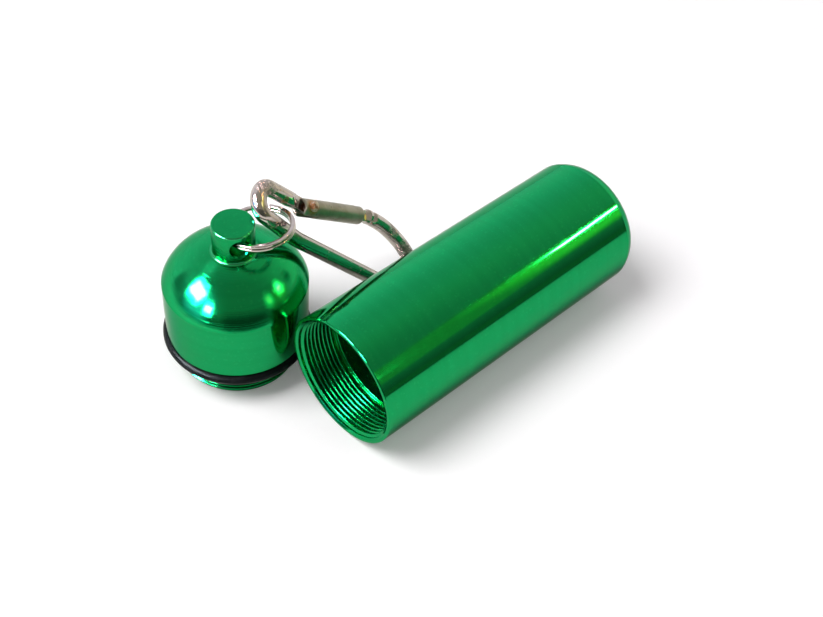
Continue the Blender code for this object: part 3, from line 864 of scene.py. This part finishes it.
def new_material(name):
    """A material with its tree, and its shader that is still to be set."""
    material = bpy.data.materials.new(name)
    material.use_nodes = True
    tree = material.node_tree
    return material, tree, tree.nodes["Principled BSDF"]


def set_shader(tree, shader, **inputs):
    set_inputs(tree, shader.inputs, {label.replace("_", " "): value for label, value in inputs.items()})


# Finishes that several materials share

BROAD_LINES_SHARE = 0.12                # of the fine lines' number
GLINT_CELLS_SHARE = 0.6                 # of the grain's fineness
GLINT_EDGE = (0.93, 0.97)
SMUDGE_EDGE = (0.35, 0.7)
SCRATCH_EDGE = (0.7, 0.76)
SCRATCH_TURN = (0.5, 0.9, 0.3)
SCRATCH_STRETCH = (1.0, 34.0, 34.0)
PIT_EDGE = (0.3, 0.16)
PIT_PATCH_EDGE = (0.52, 0.66)
PIT_PATCH_SHARE = 0.3                   # of the pits' fineness


def open_group(name, size, usual, *results):
    """A shader node group that takes a vector and a size, and puts out values."""
    group = bpy.data.node_groups.new(name, "ShaderNodeTree")
    group.interface.new_socket("Vector", in_out="INPUT", socket_type="NodeSocketVector")
    socket = group.interface.new_socket(size, in_out="INPUT", socket_type="NodeSocketFloat")
    socket.default_value = usual
    for label in results:
        group.interface.new_socket(label, in_out="OUTPUT", socket_type="NodeSocketFloat")
    given = group.nodes.new("NodeGroupInput").outputs
    return group, given["Vector"], given[size]


def close_group(group, **results):
    ends = group.nodes.new("NodeGroupOutput").inputs
    for label, socket in results.items():
        group.links.new(socket, ends[label])
    return group


def turned_lines_group():
    """Fine lines that a lathe tool leaves round a piece's axis, Z, and their broad tone."""
    group, vector, count = open_group("turned_lines", "Lines", 4000.0, "Height", "Tone")
    radius, height = round_axis(group, vector)
    spots = put(group, "CombineXYZ", {0: radius, 1: height}).outputs[0]
    fine = noise(group, spots, count, detail=3.0, roughness=0.65, dimensions="2D")
    broad_count = reckon(group, "MULTIPLY", count, BROAD_LINES_SHARE)
    broad = noise(group, spots, broad_count, detail=2.0, dimensions="2D")
    return close_group(group, Height=fine, Tone=broad)


def fine_grain_group():
    """The etched grain of an anodised or plated skin, with small specks: painted glints on the anodised
    skin, and dust on the rubber.
    """
    group, vector, fineness = open_group("fine_grain", "Fineness", 6000.0, "Height", "Glints")
    grain = noise(group, vector, fineness, detail=2.0, roughness=0.7)
    cell_count = reckon(group, "MULTIPLY", fineness, GLINT_CELLS_SHARE)
    cells = put(group, "TexVoronoi", {"Vector": vector, "Scale": cell_count}).outputs["Color"]
    lottery = put(group, "SeparateColor", {0: cells}).outputs[0]
    return close_group(group, Height=grain, Glints=graded(group, lottery, *GLINT_EDGE))


def handling_group():
    """Marks of use: soft smudges, and hairline scratches that run a little askew."""
    group, vector, size = open_group("handling_marks", "Size", 160.0, "Smudges", "Scratches")
    smudge = noise(group, vector, size, detail=4.0, roughness=0.6, distortion=0.4)
    drawn_out = put(group, "Mapping", {
        "Vector": vector, "Rotation": SCRATCH_TURN, "Scale": SCRATCH_STRETCH}).outputs[0]
    hair = noise(group, drawn_out, size, detail=1.0)
    return close_group(group, Smudges=graded(group, smudge, *SMUDGE_EDGE),
                       Scratches=graded(group, hair, *SCRATCH_EDGE))


def pits_group():
    """Small pits where plating has lifted, in patches."""
    group, vector, fineness = open_group("pits", "Fineness", 900.0, "Pits", "Height")
    patches = noise(group, vector, reckon(group, "MULTIPLY", fineness, PIT_PATCH_SHARE), detail=2.0)
    cells = put(group, "TexVoronoi", {"Vector": vector, "Scale": fineness}).outputs["Distance"]
    pits = reckon(group, "MULTIPLY", graded(group, cells, *PIT_EDGE),
                  graded(group, patches, *PIT_PATCH_EDGE))
    return close_group(group, Pits=pits, Height=reckon(group, "SUBTRACT", 1.0, pits))


turned_lines = turned_lines_group()
fine_grain = fine_grain_group()
handling_marks = handling_group()
surface_pits = pits_group()


def use_group(tree, group, **inputs):
    return put(tree, "Group", inputs, node_tree=group).outputs


# Green anodised skin: its colours, what shows of each, and what dulls it

DYE_DEEP = (0.0015, 0.37, 0.113, 1.0)
DYE_BRIGHT = (0.0025, 0.388, 0.121, 1.0)
# Painted glints: brighter green specks of the grain, put into the colour
PAINTED_GLINT_GREEN = (0.02, 0.5, 0.17, 1.0)
THIN_DYE_AND_PAINTED_HIGHLIGHT = (0.22, 0.75, 0.5, 1.0)       # paler on the chamfers, partly as thin dye and partly as a painted highlight
DYE_EDGE = (0.42, 0.66, 0.6, 1.0)       # how much of the full shine is left at a grazing look
DYE_TONES = (0.3, 0.7)                  # tones of the turned lines that are deep and bright
# How much of the painted glints shows
PAINTED_GLINT_SHARE = 0.3
# How much of the pale colour shows on the chamfers, partly thin dye and partly a painted highlight
THIN_DYE_AND_HIGHLIGHT_SHARE = 0.16
DYE_GRAIN = 5200.0
DYE_MARKS = 170.0
TOOL_LINES = 5200.0
FAINT_LINES_SHARE = 0.1                 # of their full depth, below the height that they start at
SMUDGE_DULLS = 0.04
SCRATCH_DULLS = 0.05
CHAMFER_DULLS = 0.08
BORE_DULLS = 0.14
BORE_MARGIN = 0.1 * MM
CHAMFER_MARGIN = 0.02 * MM
TUBE_GLOSS = 0.07
TUBE_LINE_DEPTH = 0.0003 * MM
TUBE_GRAIN_DEPTH = 0.0003 * MM
CAP_GLOSS = 0.08
CAP_LINE_DEPTH = 0.02 * MM
CAP_GRAIN_DEPTH = 0.0006 * MM
# Bands of the knob's top chamfer and foot fillet, painted paler: partly thin dye, partly a painted
# highlight
CAP_THIN_DYE_AND_HIGHLIGHT = [
    (KNOB_TOP - KNOB_CHAMFER, KNOB_TOP - CHAMFER_MARGIN),
    (KNOB_BASE, KNOB_BASE + KNOB_FOOT),
]


def between(tree, height, bands):
    """One in narrow bands of height, each given as (low, high)."""
    share = 0.0
    for low, high in bands:
        inside = reckon(tree, "MULTIPLY", reckon(tree, "GREATER_THAN", height, low),
                        reckon(tree, "LESS_THAN", height, high))
        share = reckon(tree, "MAXIMUM", share, inside)
    return share


def anodised(name, place, gloss, line_depth, lines_from, grain_depth, bore, thin_dye_and_highlight=()):
    """Bright green dye in a thin, hard oxide over turned aluminium, with painted glints in its grain.
    The turned lines are deeper from a height on, the colour is paler in bands of height, partly as thin
    dye and partly as a painted highlight, and the bore, as (radius, depth), is duller."""
    material, tree, shader = new_material(name)
    spots = own_axis(tree, place)
    radius, height = round_axis(tree, spots)
    lines = use_group(tree, turned_lines, Vector=spots, Lines=TOOL_LINES)
    grain = use_group(tree, fine_grain, Vector=spots, Fineness=DYE_GRAIN)
    marks = use_group(tree, handling_marks, Vector=spots, Size=DYE_MARKS)
    # Bands where the colour is paler, partly as thin dye and partly as a painted highlight
    chamfers = between(tree, height, thin_dye_and_highlight)
    in_bore = reckon(tree, "MULTIPLY", reckon(tree, "LESS_THAN", radius, bore[0]),
                     reckon(tree, "LESS_THAN", height, bore[1]))
    dye = blended(tree, graded(tree, lines["Tone"], *DYE_TONES), DYE_DEEP, DYE_BRIGHT)
    # Painted glints: brighter green specks of the grain over the dye
    dye = layered(tree, dye, (grain["Glints"], PAINTED_GLINT_SHARE, PAINTED_GLINT_GREEN),
                  (chamfers, THIN_DYE_AND_HIGHLIGHT_SHARE, THIN_DYE_AND_PAINTED_HIGHLIGHT))
    rough = added(tree, gloss, (marks["Smudges"], SMUDGE_DULLS), (marks["Scratches"], SCRATCH_DULLS),
                  (chamfers, CHAMFER_DULLS), (in_bore, BORE_DULLS))
    depth_share = graded(tree, height, lines_from, lines_from + MM, FAINT_LINES_SHARE, 1.0)
    normal = raised(tree, lines["Height"], line_depth, depth_share)
    normal = raised(tree, grain["Height"], grain_depth, normal=normal)
    set_shader(tree, shader, Base_Color=dye, Metallic=1.0, Roughness=rough, Normal=normal,
               Specular_Tint=DYE_EDGE, Coat_Weight=0.2, Coat_Roughness=0.04, Coat_IOR=1.5)
    return material


# Seal rubber

RUBBER_BLACK = (0.003, 0.0032, 0.004, 1.0)
RUBBER_WORN = (0.007, 0.0075, 0.009, 1.0)
RUBBER_WORN_SHARE = 0.6
DUST = (0.06, 0.06, 0.06, 1.0)
DUST_SHARE = 0.15
RUBBER_GRAIN = 2600.0
RUBBER_GRAIN_DEPTH = 0.012 * MM
RUBBER_MARKS = 320.0
RUBBER_GLOSS = 0.28
RUBBER_SMUDGE_DULLS = 0.14


def rubber():
    """Satin black seal rubber with a little dust on it."""
    material, tree, shader = new_material("seal_rubber_satin")
    spots = own_axis(tree, CAP_PLACE)
    grain = use_group(tree, fine_grain, Vector=spots, Fineness=RUBBER_GRAIN)
    marks = use_group(tree, handling_marks, Vector=spots, Size=RUBBER_MARKS)
    black = layered(tree, RUBBER_BLACK, (marks["Smudges"], RUBBER_WORN_SHARE, RUBBER_WORN),
                    (grain["Glints"], DUST_SHARE, DUST))
    set_shader(tree, shader, Base_Color=black, Specular_IOR_Level=0.12,
               Roughness=added(tree, RUBBER_GLOSS, (marks["Smudges"], RUBBER_SMUDGE_DULLS)),
               Specular_Tint=(0.6, 0.95, 1.0, 1.0),
               Normal=raised(tree, grain["Height"], RUBBER_GRAIN_DEPTH))
    return material


# Nickel plate: colours of its pieces, and how its faults look

NICKEL = (0.62, 0.565, 0.565, 1.0)
NICKEL_DULL = (0.46, 0.41, 0.405, 1.0)
GATE_DULL = (0.33, 0.32, 0.275, 1.0)
GATE_STAINED = (0.24, 0.235, 0.195, 1.0)
SPRING_BRIGHT = (0.5, 0.5, 0.5, 1.0)
SPRING_DULL = (0.42, 0.42, 0.42, 1.0)
PIT_BROWN = (0.16, 0.11, 0.07, 1.0)
WORN_BROWN = (0.11, 0.09, 0.075, 1.0)
RUST = (0.5, 0.23, 0.07, 1.0)
STAIN_SHARE = 0.7
WORN_SHARE = 0.8
RUST_SHARE = 0.9
STAIN_DULLS = 0.1
PIT_DULLS = 0.3
WEAR_DULLS = 0.25
HAIRLINE_DULLS = 0.12
PLATE_GRAIN = 5000.0
PLATE_GRAIN_DEPTH = 0.0012 * MM
PLATE_MARKS = 420.0
PLATE_PITS = 1500.0
PIT_DEPTH = 0.03 * MM
FLAKES = 3000.0
FLAKE_DEPTH = 0.05 * MM
FLAKE_EDGE = (0.44, 0.52)
RUST_EDGE = (0.3, 0.5)
FULL_WEAR_SHARE = 0.35      # of a worn place's reach, within which it is worn all over

# Where plate is worn or rusty, as (middle, reach) in the hook's plane
HOOK_WORN = [
    (Vector((0.6, 5.8, 1.2)) * MM, 2.6 * MM),
    (Vector((44.5, 8.2, 1.0)) * MM, 4.2 * MM),
    (Vector((38.5, 11.4, 1.0)) * MM, 2.4 * MM),
]
HOOK_RUSTY = [(Vector((6.0, 5.3, 0.9)) * MM, 1.15 * MM)]
GATE_RUSTY = [(RIVET.to_3d() + UP * side, 2.0 * MM) for side in (GATE_RADIUS, -GATE_RADIUS)]


def near(tree, spots, places):
    """One near any of the places, given as (middle, reach)."""
    share = 0.0
    for middle, reach in places:
        close = graded(tree, measure(tree, "DISTANCE", spots, middle),
                       reach * FULL_WEAR_SHARE, reach, 1.0, 0.0)
        share = reckon(tree, "MAXIMUM", share, close)
    return share


def plated(name, bright, dull, gloss, pit_share, worn_places=(), rusty_places=()):
    """Nickel plate on steel, with stains and small pits, and worn or rusty in places."""
    material, tree, shader = new_material(name)
    spots = own_axis(tree, HOOK_PLACE)
    grain = use_group(tree, fine_grain, Vector=spots, Fineness=PLATE_GRAIN)
    marks = use_group(tree, handling_marks, Vector=spots, Size=PLATE_MARKS)
    pits = use_group(tree, surface_pits, Vector=spots, Fineness=PLATE_PITS)
    flakes = noise(tree, spots, FLAKES, detail=3.0, roughness=0.7)
    worn = reckon(tree, "MULTIPLY", near(tree, spots, worn_places), graded(tree, flakes, *FLAKE_EDGE))
    rust = reckon(tree, "MULTIPLY", near(tree, spots, rusty_places), graded(tree, flakes, *RUST_EDGE))
    metal = layered(tree, bright, (marks["Smudges"], STAIN_SHARE, dull),
                    (pits["Pits"], pit_share, PIT_BROWN), (worn, WORN_SHARE, WORN_BROWN),
                    (rust, RUST_SHARE, RUST))
    rough = added(tree, gloss, (marks["Smudges"], STAIN_DULLS), (pits["Pits"], PIT_DULLS),
                  (reckon(tree, "MAXIMUM", worn, rust), WEAR_DULLS),
                  (marks["Scratches"], HAIRLINE_DULLS))
    normal = raised(tree, pits["Height"], PIT_DEPTH)
    normal = raised(tree, reckon(tree, "SUBTRACT", 1.0, worn), FLAKE_DEPTH, normal=normal)
    normal = raised(tree, grain["Height"], PLATE_GRAIN_DEPTH, normal=normal)
    set_shader(tree, shader, Base_Color=metal, Metallic=1.0, Roughness=rough, Normal=normal)
    return material


# Rusted steel

BARE_STEEL = (0.62, 0.56, 0.48, 1.0)
RUST_BROWN = (0.2, 0.085, 0.025, 1.0)
RUST_PATCHES = 900.0
RUST_PATCH_EDGE = (0.42, 0.58)
RUST_DEPTH = 0.06 * MM
STEEL_GLOSS = 0.28
RUST_DULLS = 0.4
RUST_METALLIC_LOSS = 0.8


def rusted():
    """Bare steel with rust in its lows."""
    material, tree, shader = new_material("rivet_rusted")
    patches = noise(tree, own_axis(tree, RIVET_PLACE), RUST_PATCHES, detail=5.0, roughness=0.65)
    rust = graded(tree, patches, *RUST_PATCH_EDGE)
    set_shader(tree, shader, Base_Color=blended(tree, rust, BARE_STEEL, RUST_BROWN),
               Metallic=added(tree, 1.0, (rust, -RUST_METALLIC_LOSS)),
               Roughness=added(tree, STEEL_GLOSS, (rust, RUST_DULLS)),
               Normal=raised(tree, patches, RUST_DEPTH))
    return material


# Pieces, each with its finish

def finish(piece, material, body, node, crease=PLAIN_CREASE):
    """Give a piece its finish and set it in for its CAD node."""
    hold(piece)
    bpy.ops.object.shade_smooth_by_angle(angle=crease)
    piece.data.materials.clear()
    piece.data.materials.append(material)
    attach(piece, body)
    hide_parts(node)


hook_plate = plated("hook_nickel", NICKEL, NICKEL_DULL, gloss=0.07, pit_share=1.0,
                    worn_places=HOOK_WORN, rusty_places=HOOK_RUSTY)
ring_plate = plated("ring_nickel", NICKEL, NICKEL_DULL, gloss=0.1, pit_share=0.5)
gate_plate = plated("gate_dull", GATE_DULL, GATE_STAINED, gloss=0.34, pit_share=0.6,
                    rusty_places=GATE_RUSTY)
spring_plate = plated("spring_bright", SPRING_BRIGHT, SPRING_DULL, gloss=0.25, pit_share=0.3)
tube_green = anodised("tube_green", TUBE_PLACE, TUBE_GLOSS, TUBE_LINE_DEPTH, -MM, TUBE_GRAIN_DEPTH,
                      (MOUTH_ROOT + BORE_MARGIN, TUBE_LENGTH - TUBE_FLOOR / 2))
cap_green = anodised("cap_green", CAP_PLACE, CAP_GLOSS, CAP_LINE_DEPTH, DOME_FOOT, CAP_GRAIN_DEPTH,
                     (CAVITY_RADIUS + BORE_MARGIN, CAVITY_DEPTH + BORE_MARGIN), CAP_THIN_DYE_AND_HIGHLIGHT)

finish(make_tube(), tube_green, "capsule", "capsule_body", TURNED_CREASE)
finish(make_cap(), cap_green, "cap", "cap", TURNED_CREASE)
finish(make_seal(), rubber(), "cap", "o_ring")
finish(make_split_ring(), ring_plate, "ring", "split_ring")
finish(make_hook(), hook_plate, "hook", "hook_frame")
finish(make_gate(), gate_plate, "gate", "hook_gate")
finish(make_rivet(), rusted(), "hook", "gate_rivet")
finish(make_plunger(), spring_plate, "gate", "gate_plunger")
finish(make_spring(), spring_plate, "gate", "gate_spring")


# Studio, in metres and degrees

WHITE = (1.0, 1.0, 1.0, 1.0)
STUDIO_MIDDLE = Vector((-0.01, 0.0, 0.015))

FLOOR_SIZE = 1.8
FLOOR_DROP = 0.02 * MM
FLOOR_WHITE = (0.93, 0.93, 0.935, 1.0)
FLOOR_IN_METAL = (0.8, 0.79, 0.69, 1.0)
FLOOR_LIFT = 0.1
FLOOR_FADE = (0.35, 0.85)               # how far out the floor starts to fade, and is gone

BACKDROP_WAY = (0.64, 0.76, 0.0)
BACKDROP_SPREAD = (-0.25, 0.45)
BACKDROP_GLOW = (0.1, 0.9, 0.98, 0.6)   # two heights, then the glow at each
WALL_GLOW = (0.05, 0.5, 0.14, 0.34)
WINDOW_WAY = (-0.26, 0.966, 0.0)
WINDOW_SPREAD = (-0.3, 0.3)
WINDOW_FADE = (0.5, 0.95, 1.0, 0.5)
ROOM_WARM = (1.0, 0.95, 0.7, 1.0)
ROOM_COOL = (1.0, 0.985, 0.985, 1.0)
ROOM_SOFT = (1.0, 0.92, 0.965, 1.0)
ROOM_SOFT_GLOW = 0.35

# Soft lamps: name, azimuth, elevation, distance, size, power
LAMPS = [
    ("window_lamp", 150, 57, 1.1, (0.6, 0.6), 10.8),
    ("front_lamp", -60, 55, 1.3, (0.9, 0.9), 1.6),
]

# What metal mirrors: name, azimuth, elevation, size, colour, strength, distance, share of soft edge
CARDS = [
    ("window", 154, 38, (0.56, 0.46), (1.0, 0.75, 0.75), 112.0, 1.2, 0.3),
    ("window_sill", -173, 28, (0.25, 0.28), (1.0, 0.75, 0.75), 112.0, 1.19, 0.3),
    ("window_glow", 168, 26, (1.3, 1.25), (0.3, 0.62, 1.0), 2.7, 1.3, 0.7),
    ("window_frame", 127, 14, (0.5, 0.6), (0.3, 0.3, 0.3), 1.0, 1.1, 0.6),
    ("ceiling", 112, 56, (0.7, 0.5), (1.0, 1.0, 1.0), 1.1, 1.3, 0.7),
    ("lamp", -41.5, 33.2, (0.15, 0.045), (1.0, 0.5, 0.2), 135.0, 1.2, 0.2),
    ("side_lamp", -69, 34, (0.14, 0.3), (1.0, 1.0, 0.4), 5.0, 1.2, 0.3),
    ("lamp_glow", -44, 28.5, (0.5, 0.5), (1.0, 1.0, 0.16), 1.3, 1.3, 0.75),
    ("lamp_haze", -52, 29, (1.0, 0.56), (0.95, 1.0, 0.35), 0.42, 1.35, 0.3),
    ("warm_wall", -98, 0, (0.19, 0.33), (1.0, 0.57, 0.17), 0.64, 0.6, 0.3),
    ("dark_wall", -56, 3, (1.1, 0.19), (0.14, 0.17, 0.08), 1.0, 1.22, 0.6),
    ("dark_corner", -19, 23, (0.34, 0.3), (0.12, 0.14, 0.08), 1.0, 1.15, 0.5),
    ("maker", -119, 11, (0.36, 0.2), (0.07, 0.08, 0.06), 1.0, 0.24, 0.45),
]

CAMERA_SPOT = (-0.115133, -0.111438, 0.182256)
CAMERA_TURN = Matrix((
    (0.72979, 0.47568, -0.49105), (-0.68008, 0.57862, -0.45021), (0.06998, 0.66251, 0.74577)))
CAMERA_SENSOR = 36.0 * MM
CAMERA_LENS = 54.11 * MM
CAMERA_NEAREST = 5.0 * MM


def ray_kinds(tree, *kinds):
    """One where the ray is any of these kinds."""
    path = put(tree, "LightPath").outputs
    total = path[kinds[0]]
    for kind in kinds[1:]:
        total = reckon(tree, "MAXIMUM", total, path[kind])
    return total


def no_floor_yet(tree):
    """One where the light's path has met nothing matt, which keeps green glare off the floor."""
    return reckon(tree, "LESS_THAN", put(tree, "LightPath").outputs["Diffuse Depth"], 0.5)


def make_floor():
    """A white sheet that keeps the shadows and otherwise runs out into the white room."""
    floor = start_piece("floor", bpy.ops.mesh.primitive_plane_add, size=FLOOR_SIZE,
                        location=(0.0, 0.0, -FLOOR_DROP))
    close_piece()
    material, tree, shader = new_material("white_sheet")
    white = blended(tree, ray_kinds(tree, "Is Glossy Ray"), FLOOR_WHITE, FLOOR_IN_METAL)
    set_shader(tree, shader, Base_Color=white, Roughness=0.9, Specular_IOR_Level=0.1)
    lift = put(tree, "Emission", {"Color": WHITE, "Strength": reckon(
        tree, "MULTIPLY", ray_kinds(tree, "Is Camera Ray"), FLOOR_LIFT)})
    both = put(tree, "AddShader", {0: shader.outputs[0], 1: lift.outputs[0]})
    away = measure(tree, "LENGTH", put(tree, "TexCoord").outputs["Object"])
    faded = crossed(tree, graded(tree, away, *FLOOR_FADE), both, put(tree, "BsdfTransparent"))
    tree.links.new(faded.outputs[0], tree.nodes["Material Output"].inputs["Surface"])
    floor.data.materials.append(material)


def make_room():
    """White to the eye. Metal sees a bright ceiling and backdrop, and darker walls near the horizon."""
    world = bpy.data.worlds.new("room")
    bpy.context.scene.world = world
    world.use_nodes = True
    tree = world.node_tree
    tree.nodes.clear()
    way = put(tree, "TexCoord").outputs["Generated"]
    height = put(tree, "SeparateXYZ", {0: way}).outputs[2]
    backdrop = graded(tree, measure(tree, "DOT_PRODUCT", way, BACKDROP_WAY), *BACKDROP_SPREAD)
    wall = graded(tree, height, *WALL_GLOW)
    bright = graded(tree, height, *BACKDROP_GLOW)
    glow = reckon(tree, "MULTIPLY_ADD", backdrop, reckon(tree, "SUBTRACT", bright, wall), wall)
    cool = graded(tree, measure(tree, "DOT_PRODUCT", way, WINDOW_WAY), *WINDOW_SPREAD)
    cool = reckon(tree, "MULTIPLY", cool, graded(tree, height, *WINDOW_FADE))
    seen = put(tree, "Background", {"Color": WHITE, "Strength": 1.0})
    mirrored = put(tree, "Background", {
        "Color": blended(tree, cool, ROOM_WARM, ROOM_COOL), "Strength": glow})
    soft = put(tree, "Background", {"Color": ROOM_SOFT, "Strength": ROOM_SOFT_GLOW})
    in_metal = reckon(tree, "MULTIPLY", ray_kinds(tree, "Is Glossy Ray", "Is Transmission Ray"),
                      no_floor_yet(tree))
    inner = crossed(tree, in_metal, soft, mirrored)
    outer = crossed(tree, ray_kinds(tree, "Is Camera Ray"), inner, seen)
    tree.links.new(outer.outputs[0], put(tree, "OutputWorld").inputs["Surface"])


def toward(azimuth, elevation):
    """The direction at an azimuth from +X and an elevation."""
    turn, rise = math.radians(azimuth), math.radians(elevation)
    return Vector((math.cos(rise) * math.cos(turn), math.cos(rise) * math.sin(turn), math.sin(rise)))


def hang_lamp(name, azimuth, elevation, distance, size, power):
    """A soft lamp that looks at the object. Metal sees the cards instead."""
    light = bpy.data.lights.new(name, "AREA")
    light.shape = "RECTANGLE"
    light.size, light.size_y = size
    light.energy = power
    lamp = bpy.data.objects.new(name, light)
    bpy.context.scene.collection.objects.link(lamp)
    way = toward(azimuth, elevation)
    lamp.location = way * distance
    lamp.rotation_euler = way.to_track_quat("Z", "Y").to_euler()
    lamp.visible_glossy = False


def hang_card(name, azimuth, elevation, size, colour, strength, distance, edge_share):
    """A glowing or dark card with soft edges, which shows in mirrored light only."""
    way = toward(azimuth, elevation)
    place = (Matrix.Translation(STUDIO_MIDDLE + way * distance)
             @ way.to_track_quat("Z", "Y").to_matrix().to_4x4())
    card = start_piece(name, bpy.ops.mesh.primitive_plane_add, size=1.0)
    close_piece()
    card.scale = (*size, 1.0)
    fix_place(card)
    fix_place(card, place)
    material = bpy.data.materials.new(name)
    material.use_nodes = True
    tree = material.node_tree
    tree.nodes.clear()
    spots = put(tree, "SeparateXYZ", {0: own_axis(tree, place)}).outputs
    share = 1.0
    for spot, side in zip(spots, size):
        off = reckon(tree, "ABSOLUTE", reckon(tree, "DIVIDE", spot, side / 2))
        share = reckon(tree, "MULTIPLY", share, graded(tree, off, 1.0 - edge_share, 1.0, 1.0, 0.0))
    glow = put(tree, "Emission", {
        "Color": (*colour, 1.0), "Strength": reckon(tree, "MULTIPLY", no_floor_yet(tree), strength)})
    soft = crossed(tree, share, put(tree, "BsdfTransparent"), glow)
    tree.links.new(soft.outputs[0], put(tree, "OutputMaterial").inputs["Surface"])
    card.data.materials.append(material)
    card.visible_camera = False
    card.visible_diffuse = False
    card.visible_shadow = False
    card.visible_transmission = False


def set_camera():
    """The photograph's camera."""
    camera = bpy.data.objects.new("camera", bpy.data.cameras.new("camera"))
    bpy.context.scene.collection.objects.link(camera)
    camera.matrix_world = Matrix.Translation(CAMERA_SPOT) @ CAMERA_TURN.to_4x4()
    camera.data.sensor_width = CAMERA_SENSOR / MM
    camera.data.lens = CAMERA_LENS / MM
    camera.data.clip_start = CAMERA_NEAREST
    bpy.context.scene.camera = camera
    bpy.context.scene.view_settings.view_transform = "Standard"


make_floor()
make_room()
for lamp in LAMPS:
    hang_lamp(*lamp)
for card in CARDS:
    hang_card(*card)
set_camera()
